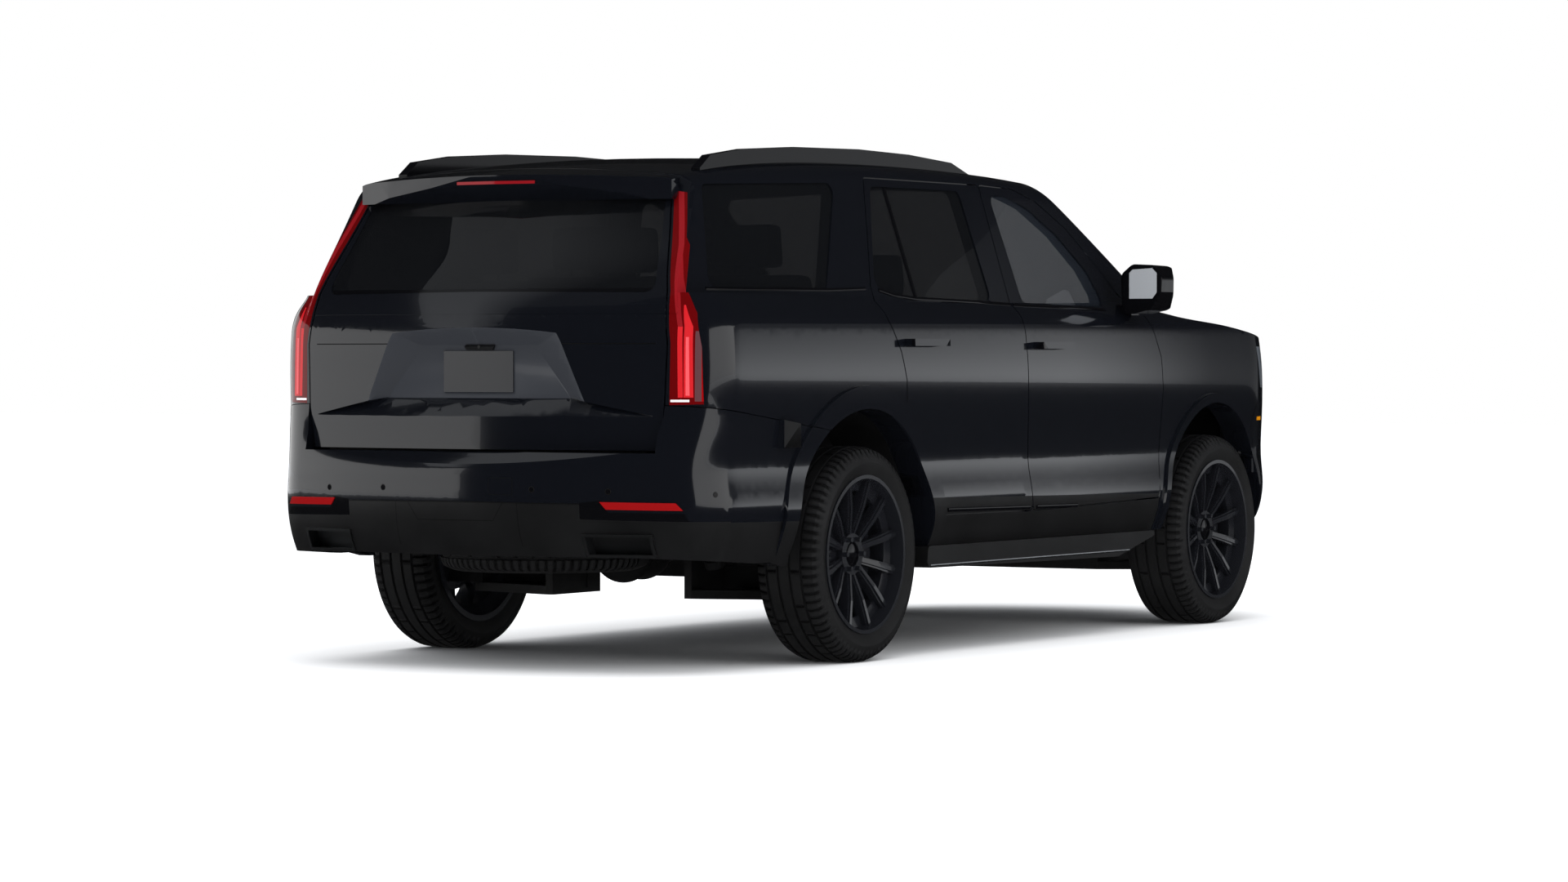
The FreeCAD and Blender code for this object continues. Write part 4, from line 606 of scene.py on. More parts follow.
# %% Bumper, sills and gate
bumper_zones = (
    both_sides(satin_plastic, [(1.60, 0.30), (2.72, 0.30), (2.72, 0.556), (1.60, 0.540)])
    + on_tail(satin_plastic, [(0.0, 0.30), (0.505, 0.30), (0.505, 0.619), (0.0, 0.623)])
    + on_tail(satin_plastic, [(0.505, 0.30), (1.03, 0.30), (1.03, 0.553), (0.505, 0.563)])
    + on_tail(gloss_trim, [(0.505, 0.563), (0.88, 0.556), (0.868, 0.585), (0.505, 0.590)])
    + on_tail(gloss_trim, [(0.505, 0.588), (0.609, 0.588), (0.585, 0.632), (0.505, 0.622)]))
sill_zones = both_sides(satin_plastic, [(-1.10, 0.42), (1.35, 0.42), (1.35, 0.612), (-1.10, 0.574)])
cover = rect(-0.248, 0.648, -0.151, 0.709)  # over the towing eye
for p, q in edges_of(cover):
    bumper_zones += seam_line(p, q, 0.002, False)
for p, q in (((0.2645, 0.621), (0.268, 0.460)), ((0.206, 0.618), (0.165, 0.554))):
    bumper_zones += seam_line(p, q)
bumper_zones += seam_line((-0.165, 0.554), (0.165, 0.554), mirrored=False)
bumper_zones += seam_line((0.0, 0.6215), (0.505, 0.6175), 0.004)
gate_zones = seam_line((0.0, 1.192), (0.745, 1.192), 0.0035)
print("bumper zones", len(bumper_zones))

# %% Tail lamps and the rear window
lamp_zones = (
    strips(guide_dim, [(0.682, 1.757), (0.752, 1.547), (0.778, 1.428), (0.823, 1.252)],
           [(0.703, 1.757), (0.773, 1.547), (0.797, 1.428), (0.840, 1.252)])
    + strips(guide_red, [(0.823, 1.252), (0.827, 0.999)], [(0.840, 1.252), (0.844, 0.999)])
    + strips(guide_red, [(0.832, 1.330), (0.846, 1.252), (0.846, 0.999)],
             [(0.838, 1.330), (0.874, 1.252), (0.878, 0.999)])
    # the pale core: a painted highlight
    + strips(guide_painted_highlight, [(0.852, 1.215), (0.853, 1.006)], [(0.862, 1.215), (0.866, 1.006)])
    + on_tail(smoke_lens, rect(0.882, 1.236, 0.902, 0.985))
    + on_tail(bar_red, rect(0.902, 1.229, 0.940, 0.985))
    + on_tail(foot_white, rect(0.801, 0.983, 0.865, 0.991)))
rear_zones = (on_tail(gloss_trim, rect(0.0, 1.36, 0.80, 1.392))
              + on_tail(gloss_trim, [(0.0, 1.725), (0.80, 1.712), (0.80, 1.80), (0.0, 1.80)]))
print("lamp zones", len(lamp_zones))

# %% Dress the panels
DOORS = ("door_front_left", "door_front_right", "door_rear_left", "door_rear_right")
panel_zones = {"tailgate": gate_zones, "rear_bumper": bumper_zones, "tail_lamps": lamp_zones,
               "rear_window": rear_zones, "body_sides": sill_zones, **dict.fromkeys(DOORS, sill_zones)}
handle_ends = on_tail(gloss_trim, rect(1.03, 1.15, 1.09, 1.23))
plate_recess = [(-0.62, 1.32), (0.62, 1.32), (0.70, 0.992), (-0.70, 0.992)]
# The plate recess is filled with the mid grey painted reflection.
deep_zones = {"tailgate": on_tail(recess_painted_reflection, plate_recess, False),
              "rear_bumper": both_sides(satin_plastic, rect(1.85, 0.80, 2.10, 1.0)),
              **dict.fromkeys(DOORS, handle_ends)}
for name in ("body_sides", *DOORS, "front_fenders", "hood", "roof_panel", "tailgate", "rear_bumper",
             "front_bumper", "quarter_windows", "rear_window", "glass_front_left", "glass_front_right",
             "glass_rear_left", "glass_rear_right", "tail_lamps"):
    dress_panel(name, TAIL_REACH if name == "tailgate" else REACH, panel_zones.get(name, ()),
                deep_zones.get(name, ()))

# %% [markdown]
# The trims follow the skin: each one's centre line is laid on the panels from the side it is
# seen from, and its section stands on the surface with its foot sunk two millimetres. The seat
# of a piece is found with a ray, as a fitter would press it on from that side.

# %% Find the seat of a piece
# Way of the ray, its axis, the two axes across it, and where it starts.
WAYS = {"left": (Vector((-1, 0, 0)), 0, 1, 2, 3.0), "right": (Vector((1, 0, 0)), 0, 1, 2, -3.0),
        "rear": (Vector((0, -1, 0)), 1, 0, 2, 6.0)}
seat_trees = {}


def skin_tree(names):
    if names not in seat_trees:
        verts, polygons = [], []
        for name in names:
            mesh = skins[name].data if name in skins else nodes[name].data
            first = len(verts)
            verts += [v.co.copy() for v in mesh.vertices]
            polygons += [[first + i for i in p.vertices] for p in mesh.polygons]
        seat_trees[names] = BVHTree.FromPolygons(verts, polygons)
    return seat_trees[names]


def seat(names, way, u, v, lift=0.0):
    """Point on those nodes, seen from that side at (u, v), and the way its surface faces."""
    ray, axis, a, b, start = WAYS[way]
    origin = Vector()
    origin[axis], origin[a], origin[b] = start, u, v
    place, normal, _, _ = skin_tree(names).ray_cast(origin, ray)
    if place is None:
        return None, None
    if normal.dot(ray) > 0:
        normal = -normal
    return place + normal * lift, normal


# %% Turn a bmesh into a piece that rides on a body
def make_piece(bm, name, finish, body, sharp=30):
    bmesh.ops.remove_doubles(bm, verts=bm.verts, dist=1e-6)
    bmesh.ops.recalc_face_normals(bm, faces=bm.faces)
    for f in bm.faces:
        f.smooth = True
    mesh = bpy.data.meshes.new(name)
    bm.to_mesh(mesh)
    bm.free()
    mesh.set_sharp_from_angle(angle=math.radians(sharp))
    mesh.materials.append(finish)
    obj = add_object(name, mesh)
    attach(obj, body)
    return obj


def loft(rings, name, finish, body, sharp=30):
    """Closed skin through rings of points."""
    bm = grid_through([list(ring) + [ring[0]] for ring in rings])
    bmesh.ops.remove_doubles(bm, verts=bm.verts, dist=1e-6)
    bmesh.ops.holes_fill(bm, edges=[e for e in bm.edges if e.is_boundary], sides=0)
    return make_piece(bm, name, finish, body, sharp)


def resample(path, step):
    points = []
    for p, q in zip(path, path[1:]):
        count = max(1, round(math.dist(p, q) / step))
        points += [tuple(a + (b - a) * i / count for a, b in zip(p, q)) for i in range(count)]
    return points + [path[-1]]


# %% [markdown]
# Three kinds of piece sit on the skin. A moulding is a strip lofted along a line, an applique is
# a thin plate cut from a grid, laid on and thickened, and a button is a small round boss.


# %% Mouldings, appliques and buttons
def moulding(name, on, way, path, width, rise, finish, step=0.03):
    """Strip of a rounded section along a line on the skin."""
    seated = [seat(on, way, u, v) for u, v in resample(path, step)]
    seated = [s for s in seated if s[0] is not None]
    section = ((-0.5, -0.002), (-0.5, rise * 0.6), (-0.3, rise), (0.3, rise), (0.5, rise * 0.6), (0.5, -0.002))
    rings = []
    for i, (place, normal) in enumerate(seated):
        along = (seated[min(i + 1, len(seated) - 1)][0] - seated[max(i - 1, 0)][0]).normalized()
        across = normal.cross(along).normalized()
        rings.append([place + across * (width * s) + normal * h for s, h in section])
    return loft(rings, name, finish, body_of[on[0]], 40)


def applique(name, on, way, outline, rise, depth, finish, pitch=0.02):
    """Thin plate of a convex outline laid on the skin."""
    bm = bmesh.new()
    lows = [min(p[i] for p in outline) for i in (0, 1)]
    highs = [max(p[i] for p in outline) for i in (0, 1)]
    counts = [max(1, round((highs[i] - lows[i]) / pitch)) for i in (0, 1)]
    bmesh.ops.create_grid(bm, x_segments=counts[0], y_segments=counts[1], size=0.5)
    bmesh.ops.scale(bm, vec=(highs[0] - lows[0], highs[1] - lows[1], 1), verts=bm.verts)
    bmesh.ops.translate(bm, vec=((highs[0] + lows[0]) / 2, (highs[1] + lows[1]) / 2, 0), verts=bm.verts)
    turn = sum(p[0] * q[1] - p[1] * q[0] for p, q in edges_of(outline))
    for p, q in edges_of(outline):
        normal = Vector((q[1] - p[1], p[0] - q[0], 0)) * (1 if turn > 0 else -1)
        bmesh.ops.bisect_plane(bm, geom=bm.verts[:] + bm.edges[:] + bm.faces[:], dist=1e-6,
                               plane_co=(p[0], p[1], 0), plane_no=normal.normalized(), clear_outer=True)
    top = list(bm.verts)
    grown = bmesh.ops.extrude_face_region(bm, geom=bm.faces[:])
    low = [v for v in grown["geom"] if isinstance(v, bmesh.types.BMVert)]
    for verts, lift in ((top, rise), (low, -depth)):
        for v in verts:
            v.co = seat(on, way, v.co.x, v.co.y, lift)[0]
    return make_piece(bm, name, finish, body_of[on[0]], 40)


def button(name, on, way, u, v, radius, rise, finish):
    """Small round boss that faces as the skin does."""
    place, normal = seat(on, way, u, v)
    bm = bmesh.new()
    bmesh.ops.create_cone(bm, cap_ends=True, segments=24, radius1=radius, radius2=radius * 0.86, depth=rise * 2)
    turn = normal.to_track_quat("Z", "Y").to_matrix().to_4x4()
    bmesh.ops.transform(bm, matrix=Matrix.Translation(place) @ turn, verts=bm.verts)
    return make_piece(bm, name, finish, body_of[on[0]])


# %% Spun rings and rounded boxes
def revolve(profile, steps, closed=True):
    """Ring of (axial, radius) points spun round the X axis."""
    bm = bmesh.new()
    verts = [bm.verts.new((a, 0, r)) for a, r in profile]
    pairs = list(zip(verts, verts[1:])) + ([(verts[-1], verts[0])] if closed else [])
    edges = [bm.edges.new(pair) for pair in pairs]
    bmesh.ops.spin(bm, geom=verts + edges, cent=(0, 0, 0), axis=(1, 0, 0), angle=2 * math.pi, steps=steps,
                   use_merge=True)
    bmesh.ops.remove_doubles(bm, verts=bm.verts, dist=1e-6)
    return bm


def rounded_box(name, size, place, finish, radius=0.002, segments=2):
    bm = bmesh.new()
    bmesh.ops.create_cube(bm, size=1)
    bmesh.ops.scale(bm, vec=size, verts=bm.verts)
    bmesh.ops.bevel(bm, geom=bm.edges[:], offset=radius, segments=segments, profile=0.5, affect="EDGES", material=-1)
    bmesh.ops.translate(bm, vec=place, verts=bm.verts)
    return make_piece(bm, name, finish, "body")


# %% [markdown]
# The tyres have four grooves round the tread and a row of narrow slots on each shoulder. They
# could be a bump pattern, but the tread's edge shows against the light, so it is real shape.
# Four slices of the spin make one pitch of the pattern, and one of the four is sunk.

# %% The mesh of a tyre
PITCHES, SLOT_DEPTH = 76, 0.006
TYRE_RADIUS, TYRE_WIDTH = 0.405, 0.2744


def tyre_mesh():
    half = [(0.118, 0.284), (0.1195, 0.299), (0.1255, 0.311), (0.1335, 0.328), (0.1372, 0.3445), (0.1345, 0.357),
            (0.128, 0.370), (0.1225, 0.381), (0.116, 0.3925), (0.104, 0.399), (0.092, 0.4035), (0.079, 0.4045),
            (0.077, 0.396), (0.069, 0.396), (0.067, 0.4048), (0.031, 0.405), (0.029, 0.396), (0.021, 0.396),
            (0.019, 0.405)]
    inside = [(-0.100, 0.284), (-0.118, 0.345), (-0.092, 0.383), (0.092, 0.383), (0.118, 0.345), (0.100, 0.284)]
    bm = revolve(half + [(-a, r) for a, r in reversed(half)] + inside, PITCHES * 4)
    slots = []
    for f in bm.faces:
        c = f.calc_center_median()
        radius, turn = math.hypot(c.y, c.z), math.degrees(math.atan2(c.y, c.z)) % 360
        column = int(turn / (90 / PITCHES))
        shoulder = 0.372 < radius < 0.4046 and abs(c.x) > 0.080
        rib = abs(radius - TYRE_RADIUS) < 0.002 and 0.032 < abs(c.x) < 0.066
        if f.normal.dot(Vector((0, c.y, c.z))) != 0 and (shoulder and column % 4 == 0 or rib and column % 8 == 2):
            slots.append(f)
    grown = bmesh.ops.extrude_face_region(bm, geom=slots)
    low = [v for v in grown["geom"] if isinstance(v, bmesh.types.BMVert)]
    for v in low:
        radius = math.hypot(v.co.y, v.co.z)
        v.co.y *= (radius - SLOT_DEPTH) / radius
        v.co.z *= (radius - SLOT_DEPTH) / radius
        v.co.x *= 0.985 if radius < 0.395 else 1.0
    return bm


# %% Four tyres on the road
places = {"front_left": (0.870, -1.660), "front_right": (-0.870, -1.660),
          "rear_left": (0.870, 1.411), "rear_right": (-0.870, 1.411)}
for corner_name, (x, y) in places.items():
    bm = tyre_mesh()
    bmesh.ops.translate(bm, vec=(x, y, TYRE_RADIUS), verts=bm.verts)
    tyre = make_piece(bm, "tread_" + corner_name, rubber, "wheel_" + corner_name, 24)
    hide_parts("tyre_" + corner_name)
print("tyre triangles", len(tyre.data.polygons) * 2)

# %% The spare under the load floor
SPARE_RADIUS, SPARE_Y = 0.390, 2.086
spare_low, spare_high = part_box("spare_wheel")
spare_z = (spare_low[2] + spare_high[2]) / 2
bm = tyre_mesh()
bmesh.ops.rotate(bm, cent=(0, 0, 0), matrix=Matrix.Rotation(math.pi / 2, 3, "Y"), verts=bm.verts)
flat = SPARE_RADIUS / TYRE_RADIUS
bmesh.ops.scale(bm, vec=(flat, flat, (spare_high[2] - spare_low[2]) / TYRE_WIDTH), verts=bm.verts)
bmesh.ops.translate(bm, vec=(0, SPARE_Y, spare_z), verts=bm.verts)
spare = make_piece(bm, "spare_tread", rubber, "body", 24)
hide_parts("spare_wheel")
bm = bmesh.new()
bmesh.ops.create_cone(bm, cap_ends=True, segments=96, radius1=0.275, radius2=0.275, depth=0.14)
bmesh.ops.bevel(bm, geom=bm.edges[:], offset=0.012, segments=3, profile=0.5, affect="EDGES", material=-1)
bmesh.ops.translate(bm, vec=(0, SPARE_Y, spare_z), verts=bm.verts)
make_piece(bm, "spare_disc", chassis_steel, "body")
print("spare at height", round(spare_z, 3))

# %% [markdown]
# Each wheel is held by six nuts round a bare cap. A nut is a six-sided cone, a little narrower
# outside, and the cap is spun, with a dished face inside a raised rim.

# %% Wheel nuts and hub caps
NUT_CIRCLE = 0.0625
cap = [(0.0525, 0.0), (0.0525, 0.0455), (0.0665, 0.0455), (0.0685, 0.0430), (0.0665, 0.0405), (0.0615, 0.0385),
       (0.0640, 0.022), (0.0652, 0.0)]
for corner_name, (x, y) in places.items():
    side = 1 if x > 0 else -1
    bm = bmesh.new()
    for i in range(6):
        angle = math.radians(60 * i + 30)
        nut = bmesh.ops.create_cone(
            bm, cap_ends=True, segments=6, radius1=0.0115, radius2=0.0095, depth=0.024)["verts"]
        bmesh.ops.rotate(bm, cent=(0, 0, 0), matrix=Matrix.Rotation(side * math.pi / 2, 3, "Y"), verts=nut)
        bmesh.ops.translate(bm, verts=nut, vec=(
            x + side * 0.070, y + NUT_CIRCLE * math.sin(angle), TYRE_RADIUS + NUT_CIRCLE * math.cos(angle)))
    make_piece(bm, "wheel_nuts_" + corner_name, alloy_black, "wheel_" + corner_name, 20)
    bm = revolve(cap, 96, closed=False)
    bmesh.ops.scale(bm, vec=(side, 1, 1), verts=bm.verts)
    bmesh.ops.translate(bm, vec=(x, y, TYRE_RADIUS), verts=bm.verts)
    make_piece(bm, "hub_cap_" + corner_name, gloss_trim, "wheel_" + corner_name, 30)
print("wheels done")

# %% [markdown]
# Gloss black strips run under the windows and along the sills, and a bright one lies on each
# step board. Straight bars would float over the curved doors, so each is lofted on the skin. Its
# line is given in (y, z) as seen from the side, and serves the left and the right.

# %% Trims round the windows and along the sides
SIDES = (("left", 1), ("right", -1))
mirror_outline = [(1.045, 1.385), (1.150, 1.385), (1.170, 1.41), (1.170, 1.49), (1.150, 1.51), (1.060, 1.505),
                  (1.045, 1.49)]
for side, s in SIDES:
    front, rear, shell = ("door_front_" + side,), ("door_rear_" + side,), ("body_sides", "quarter_windows")
    front_pane, rear_pane = front + ("glass_front_" + side,), rear + ("glass_rear_" + side,)
    for label, on, width, rise, path in (
            ("belt_trim_rear_", rear_pane, 0.014, 0.004,
             [(1.205, 1.398), (1.10, 1.379), (0.945, 1.368), (0.36, 1.358), (0.186, 1.353)]),
            ("belt_trim_front_", front_pane, 0.014, 0.004,
             [(0.160, 1.352), (0.073, 1.350), (-0.580, 1.341), (-0.640, 1.339)]),
            ("belt_trim_quarter_", shell, 0.012, 0.003, [(2.290, 1.391), (1.56, 1.394), (1.30, 1.402)]),
            ("window_divider_", rear_pane, 0.022, 0.003, [(0.986, 1.795), (0.928, 1.375)]),
            ("sill_trim_rear_", rear, 0.016, 0.005, [(0.800, 0.556), (0.125, 0.548)]),
            ("sill_trim_front_", front, 0.016, 0.005, [(0.065, 0.548), (-0.800, 0.540)])):
        moulding(label + side, on, side, path, width, rise, gloss_trim)
    moulding("board_strip_" + side, ("running_boards",), side, [(0.924, 0.345), (-0.819, 0.345)], 0.010, 0.002,
             bright_trim)
    applique("mirror_glass_" + side, ("mirror_" + side,), "rear", [(s * x, z) for x, z in mirror_outline],
             0.0015, 0.002, mirror_glass)
    applique("side_marker_" + side, ("front_bumper",), side, rect(-2.225, 0.868, -2.160, 0.884), 0.002, 0.003,
             amber_lens)
print("side trims done")

# %% [markdown]
# On the gate sit a blank number plate, the housing of the reversing camera with its eye, and the
# high stop lamp under the spoiler. The plate stays bare, since plates are never copied.

# %% Small pieces of the gate
gate, bumper = ("tailgate",), ("rear_bumper",)
applique("blank_plate", gate, "rear", rect(-0.1525, 1.016, 0.1525, 1.166), 0.005, 0.002, paint, 0.04)
applique("camera_housing", gate, "rear", [(-0.066, 1.170), (0.046, 1.170), (0.054, 1.190), (-0.074, 1.190)],
         0.014, 0.002, satin_plastic)
button("camera_eye", gate, "rear", -0.010, 1.181, 0.007, 0.017, gloss_trim)
applique("stop_lamp", gate, "rear", rect(-0.171, 1.777, 0.171, 1.788), 0.003, 0.002, guide_dim)
print("gate pieces done")

# %% [markdown]
# A rubber seal closes the gap between gate and bumper, a radiator core fills the view through
# the grille, baffles close the front wheel arches and webs stiffen the rear arms. All are plates
# with softened edges, so one function makes them from a beveled cube.

# %% Seal, radiator core, baffles and arm webs
rounded_box("gate_seal", (1.40, 0.09, 0.022), (0, 2.440, 0.798), rubber, 0.006, 3)
rounded_box("radiator_core", (0.90, 0.032, 0.48), (0, -2.40, 0.78), chassis_steel, 0.006)
for side, s in SIDES:
    rounded_box("splash_baffle_" + side, (0.30, 0.006, 0.22), (s * 0.64, -2.122, 0.83), satin_plastic)
    rounded_box("lower_arm_web_" + side, (0.40, 0.008, 0.10), (s * 0.49, 1.34, 0.298), chassis_steel)
print("plates done")

# %% [markdown]
# The bumper carries a red reflector and three parking sensors on each side. A sensor is a gloss
# cap the size of a coin in a satin ring, both pressed on the skin.

# %% Reflectors and parking sensors
reflector = [(0.580, 0.626), (0.842, 0.623), (0.863, 0.596), (0.602, 0.599)]
for side, s in SIDES:
    applique("reflector_" + side, bumper, "rear", [(s * x, z) for x, z in reflector], 0.004, 0.002,
             reflex_red)
    for label, x, z in (("inner", 0.325, 0.668), ("outer", 0.611, 0.663)):
        button("park_sensor_ring_" + label + "_" + side, bumper, "rear", s * x, z, 0.0125, 0.0012, satin_plastic)
        button("park_sensor_" + label + "_" + side, bumper, "rear", s * x, z, 0.0095, 0.0022, gloss_trim)
    button("park_sensor_side_" + side, bumper, side, 2.408, 0.652, 0.011, 0.002, gloss_trim)
print("tail pieces done")

# %% [markdown]
# Each seat is foam under leather. The hard CAD block could be beveled, but foam has no straight
# lines at all, so the block is remeshed evenly, smoothed, and pushed about by a few millimetres.

# %% Soft seats
SKIN_STEP, CREASE_SIZE, CREASE_DEPTH = 0.012, 0.09, 0.004
for name in ("front_seat_cushions", "rear_seat_cushions", "front_seat_backs", "rear_seat_backs", "headrests"):
    mesh = nodes[name].data.copy()
    padding = add_object(name + "_padding", mesh)
    remesh = padding.modifiers.new("even skin", "REMESH")
    remesh.mode, remesh.voxel_size = "VOXEL", SKIN_STEP
    soften = padding.modifiers.new("foam edges", "SMOOTH")
    soften.factor, soften.iterations = 0.6, 8
    cloud = bpy.data.textures.new(name + "_creases", "CLOUDS")
    cloud.noise_scale = CREASE_SIZE
    crease = padding.modifiers.new("leather creases", "DISPLACE")
    crease.texture, crease.strength, crease.mid_level = cloud, CREASE_DEPTH, 0.9
    shaped = bpy.data.meshes.new_from_object(padding.evaluated_get(bpy.context.evaluated_depsgraph_get()))
    padding.modifiers.clear()
    padding.data = shaped
    bm = bmesh.new()
    bm.from_mesh(shaped)
    bmesh.ops.recalc_face_normals(bm, faces=bm.faces)
    for f in bm.faces:
        f.smooth = True
        f.material_index = 0
    bm.to_mesh(shaped)
    bm.free()
    shaped.materials.clear()
    shaped.materials.append(leather)
    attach(padding, body_of[name])
    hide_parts(name)
    print("soft", name, len(shaped.polygons))

# %% [markdown]
# Behind the bumper two dampers slope up to the frame, and the differential shows its round
# cover with a ring of bolts. They are tubes, a flattened ball and six-sided cones.

# %% Rear dampers
for side, s in SIDES:
    low, high = Vector((s * 0.400, 1.520, 0.350)), Vector((s * 0.395, 1.640, 0.690))
    way = high - low
    length = way.length
    turn = Matrix.Translation((low + high) / 2) @ way.to_track_quat("Z", "Y").to_matrix().to_4x4()
    bm = bmesh.new()
    for radius, depth, at in ((0.030, length * 0.55, -length * 0.22), (0.022, length * 0.5, length * 0.25),
                              (0.038, 0.03, -length * 0.46), (0.036, 0.03, length * 0.46)):
        tube = bmesh.ops.create_cone(
            bm, cap_ends=True, segments=32, radius1=radius, radius2=radius, depth=depth)["verts"]
        bmesh.ops.translate(bm, vec=(0, 0, at), verts=tube)
    bmesh.ops.transform(bm, matrix=turn, verts=bm.verts)
    make_piece(bm, "rear_damper_" + side, chassis_steel, "body")
print("damper length", round(length, 3))

# %% Differential cover
AXLE_HEIGHT = 0.405
bm = bmesh.new()
bmesh.ops.create_uvsphere(bm, u_segments=48, v_segments=24, radius=1)
bmesh.ops.scale(bm, vec=(0.135, 0.060, 0.125), verts=bm.verts)
bmesh.ops.translate(bm, vec=(0, 1.545, AXLE_HEIGHT), verts=bm.verts)
make_piece(bm, "differential_cover", cast_iron, "body")
bm = bmesh.new()
for i in range(10):
    angle = math.radians(36 * i)
    bolt = bmesh.ops.create_cone(bm, cap_ends=True, segments=6, radius1=0.011, radius2=0.010, depth=0.03)["verts"]
    bmesh.ops.rotate(bm, cent=(0, 0, 0), matrix=Matrix.Rotation(math.pi / 2, 3, "X"), verts=bolt)
    bmesh.ops.translate(bm, vec=(0.118 * math.cos(angle), 1.548, AXLE_HEIGHT + 0.108 * math.sin(angle)), verts=bolt)
make_piece(bm, "differential_bolts", cast_iron, "body", 20)
print("underside done")

# %% [markdown]
# The photograph was taken with a long lens from behind the right rear corner, about
# as high as the door handles. The camera's place was solved from the wheels and the tail.

# %% Camera
SENSOR, FOCAL_PIXELS, PHOTO_WIDTH = 36.0, 5805.6, 1920
camera_data = bpy.data.cameras.new("camera")
camera_data.sensor_width = SENSOR
camera_data.lens = SENSOR * FOCAL_PIXELS / PHOTO_WIDTH
camera_data.clip_end = 200.0
camera = add_object("camera", camera_data)
yaw, pitch_angle = math.radians(30.489), math.radians(-0.992)
look = Vector((math.sin(yaw) * math.cos(pitch_angle), -math.cos(yaw) * math.cos(pitch_angle), math.sin(pitch_angle)))
camera.location = (-9.7358, 16.8650, 1.1371)
camera.rotation_euler = look.to_track_quat("-Z", "Y").to_euler()
scene.camera = camera
print("lens", round(camera_data.lens, 1), "mm")

# %% [markdown]
# Car photographers light black paint with what it mirrors, not with what falls on it.
# A pale room is the large light. Cards that only mirror images see keep the roof, the sills
# and the right half of the tail dark, and two graded ones fade the light along the side.

# %% Cards
UPRIGHT = (math.pi / 2, 0, 0)


def card(name, width, depth, material, place, turn=(0, 0, 0)):
    bm = bmesh.new()
    bmesh.ops.create_grid(bm, x_segments=1, y_segments=1, size=0.5)
    bmesh.ops.scale(bm, vec=(width, depth, 1), verts=bm.verts)
    mesh = bpy.data.meshes.new(name)
    bm.to_mesh(mesh)
    bm.free()
    obj = add_object(name, mesh)
    obj.location, obj.rotation_euler = place, turn
    mesh.materials.append(material)
    return obj


def mirror_only(obj):
    obj.visible_camera = obj.visible_diffuse = obj.visible_shadow = obj.visible_transmission = False
    return obj


# %% [markdown]
# The floor is matt white and glows a little by itself, so that it joins the white page behind.
# Close to the car the glow fades, which keeps the shadow.

# %% Floor
FLOOR_WIDTH, SHADOW_REACH = 120, 1.6
floor_paint = bpy.data.materials.new("white_studio_floor_paint")
floor_paint.use_nodes = True
tree = floor_paint.node_tree
tree.nodes.clear()
matt = add_node(tree, "ShaderNodeBsdfDiffuse", {"Color": hex_colour("e6e6e6")})
near = add_node(tree, "ShaderNodeAmbientOcclusion", {"Distance": SHADOW_REACH})
lift = add_node(tree, "ShaderNodeMapRange", {"From Min": 0.15, "To Min": 0.0, "To Max": 0.62},
                {"Value": (near, "AO")})
glow = add_node(tree, "ShaderNodeEmission", {"Color": hex_colour("ffffff")}, {"Strength": (lift, "Result")})
both = add_node(tree, "ShaderNodeAddShader", None, {"0": (matt, 0), "1": (glow, 0)})
add_node(tree, "ShaderNodeOutputMaterial", None, {"Surface": (both, 0)})
card("studio_floor", FLOOR_WIDTH, FLOOR_WIDTH, floor_paint, (0, 0, 0))
print("floor", FLOOR_WIDTH, "m")


# %% Dark and graded cards
def graded_cloth(name, across, along):
    """A lit card whose glow falls off over its own x and y, each given as from, to, start, end."""
    material = bpy.data.materials.new(name)
    material.use_nodes = True
    tree = material.node_tree
    tree.nodes.clear()
    where = add_node(tree, "ShaderNodeTexCoord")
    parts = add_node(tree, "ShaderNodeSeparateXYZ", None, {"Vector": (where, "Object")})
    falls = [add_node(tree, "ShaderNodeMapRange", {"From Min": low, "From Max": high, "To Min": start, "To Max": end},
                      {"Value": (parts, way)})
             for way, (low, high, start, end) in (("X", across), ("Y", along))]
    both = add_node(tree, "ShaderNodeMath", {"operation": "MULTIPLY"},
                    {"0": (falls[0], "Result"), "1": (falls[1], "Result")})
    glow = add_node(tree, "ShaderNodeEmission", {"Color": hex_colour("f2f5f9")}, {"Strength": (both, 0)})
    add_node(tree, "ShaderNodeOutputMaterial", None, {"Surface": (glow, 0)})
    return material


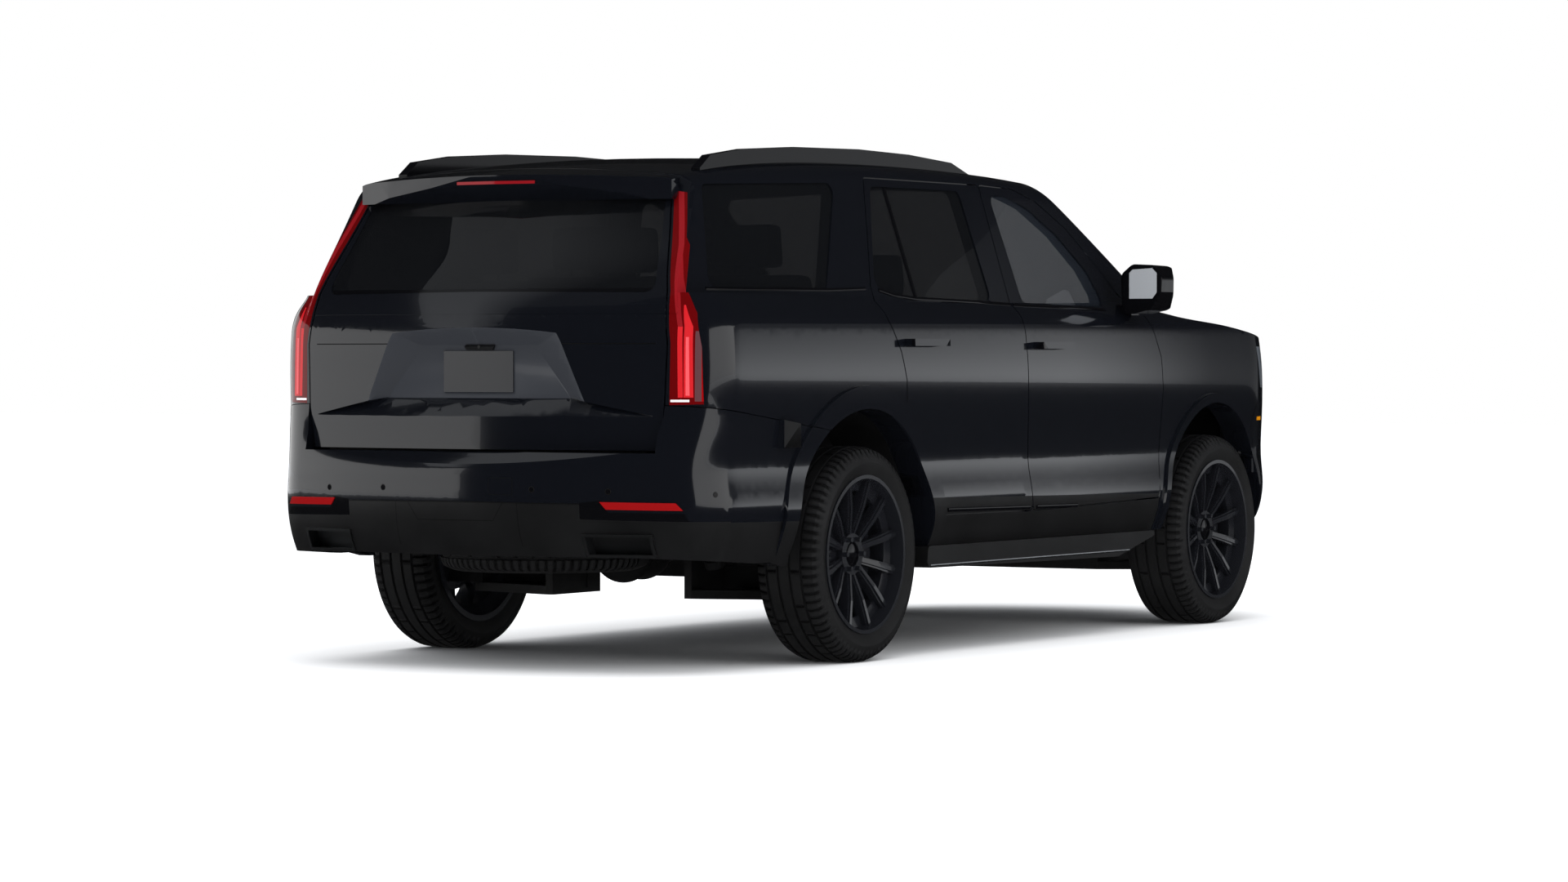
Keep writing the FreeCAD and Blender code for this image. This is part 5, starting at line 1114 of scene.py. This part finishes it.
black_cloth = bpy.data.materials.new("black_velvet_card")
black_cloth.use_nodes = True
velvet = black_cloth.node_tree.nodes["Principled BSDF"].inputs
velvet["Base Color"].default_value = hex_colour("050506")
velvet["Roughness"].default_value = 1.0
side_cloth = graded_cloth("graded_side_card", (5.4, 8.4, 1.0, 0.12), (-4.1, 1.8, 1.0, 0.1))
high_cloth = graded_cloth("graded_high_card", (-0.9, 1.4, 0.08, 0.7), (-13, 13, 0.6, 1.0))
for name, width, depth, cloth, place, turn in (
        ("floor_card", 60, 60, black_cloth, (0, 0, 0.001), (0, 0, 0)),
        ("ceiling_card", 60, 60, black_cloth, (0, 0, 9.0), (0, 0, 0)),
        ("tail_card", 30, 12, black_cloth, (-7.76, 14.0, 4.5), UPRIGHT),
        ("roof_card", 44, 7.0, black_cloth, (18.0, -28.0, 6.6), UPRIGHT),
        ("nose_card", 42, 10.0, black_cloth, (17.6, -28.1, 4.2), UPRIGHT),
        ("side_card", 34, 9, side_cloth, (-19.0, -26.0, 4.5), UPRIGHT),
        ("high_card", 8, 26, high_cloth, (8.45, 15.0, 8.8), (0, 0, -0.598))):
    mirror_only(card(name, width, depth, cloth, place, turn))
    print(name, width, "by", depth, "m")

# %% [markdown]
# The room is the world behind everything. What the eye, a mirror or a pane sees of it is white,
# and what it gives as light is weaker, so the background can be white without flooding the car.
# Three large soft lamps, which no mirror image shows, shape the car at a plain level.

# %% Room and lamps
world = bpy.data.worlds.new("studio")
scene.world = world
world.use_nodes = True
tree = world.node_tree
tree.nodes.clear()
rays = add_node(tree, "ShaderNodeLightPath")
seen = add_node(tree, "ShaderNodeMath", {"operation": "MAXIMUM"},
                {"0": (rays, "Is Camera Ray"), "1": (rays, "Is Glossy Ray")})
seen = add_node(tree, "ShaderNodeMath", {"operation": "MAXIMUM"}, {"0": (seen, 0), "1": (rays, "Is Transmission Ray")})
shown = add_node(tree, "ShaderNodeBackground", {"Color": hex_colour("ffffff"), "Strength": 1.0})
light = add_node(tree, "ShaderNodeBackground", {"Color": hex_colour("eef2f8"), "Strength": 0.75})
choice = add_node(tree, "ShaderNodeMixShader", None, {"Fac": (seen, 0), "1": (light, 0), "2": (shown, 0)})
add_node(tree, "ShaderNodeOutputWorld", None, {"Surface": (choice, 0)})


def soft_light(name, place, aim, width, depth, power):
    data = bpy.data.lights.new(name, "AREA")
    data.shape, data.size, data.size_y, data.energy = "RECTANGLE", width, depth, power
    obj = add_object(name, data)
    obj.location = place
    obj.rotation_euler = (Vector(aim) - Vector(place)).to_track_quat("-Z", "Y").to_euler()
    obj.visible_camera = False
    obj.visible_glossy = False


soft_light("overhead_softbox", (0, 0, 6.5), (0, 0, 0), 9, 12, 420)
soft_light("right_softbox", (-9, 2, 4.0), (0, 0, 0.8), 8, 4, 240)
soft_light("tail_softbox", (-3, 10, 4.0), (0, 2, 0.8), 7, 4, 160)
scene.view_settings.view_transform = "Standard"
print("lamps", len(bpy.data.lights))
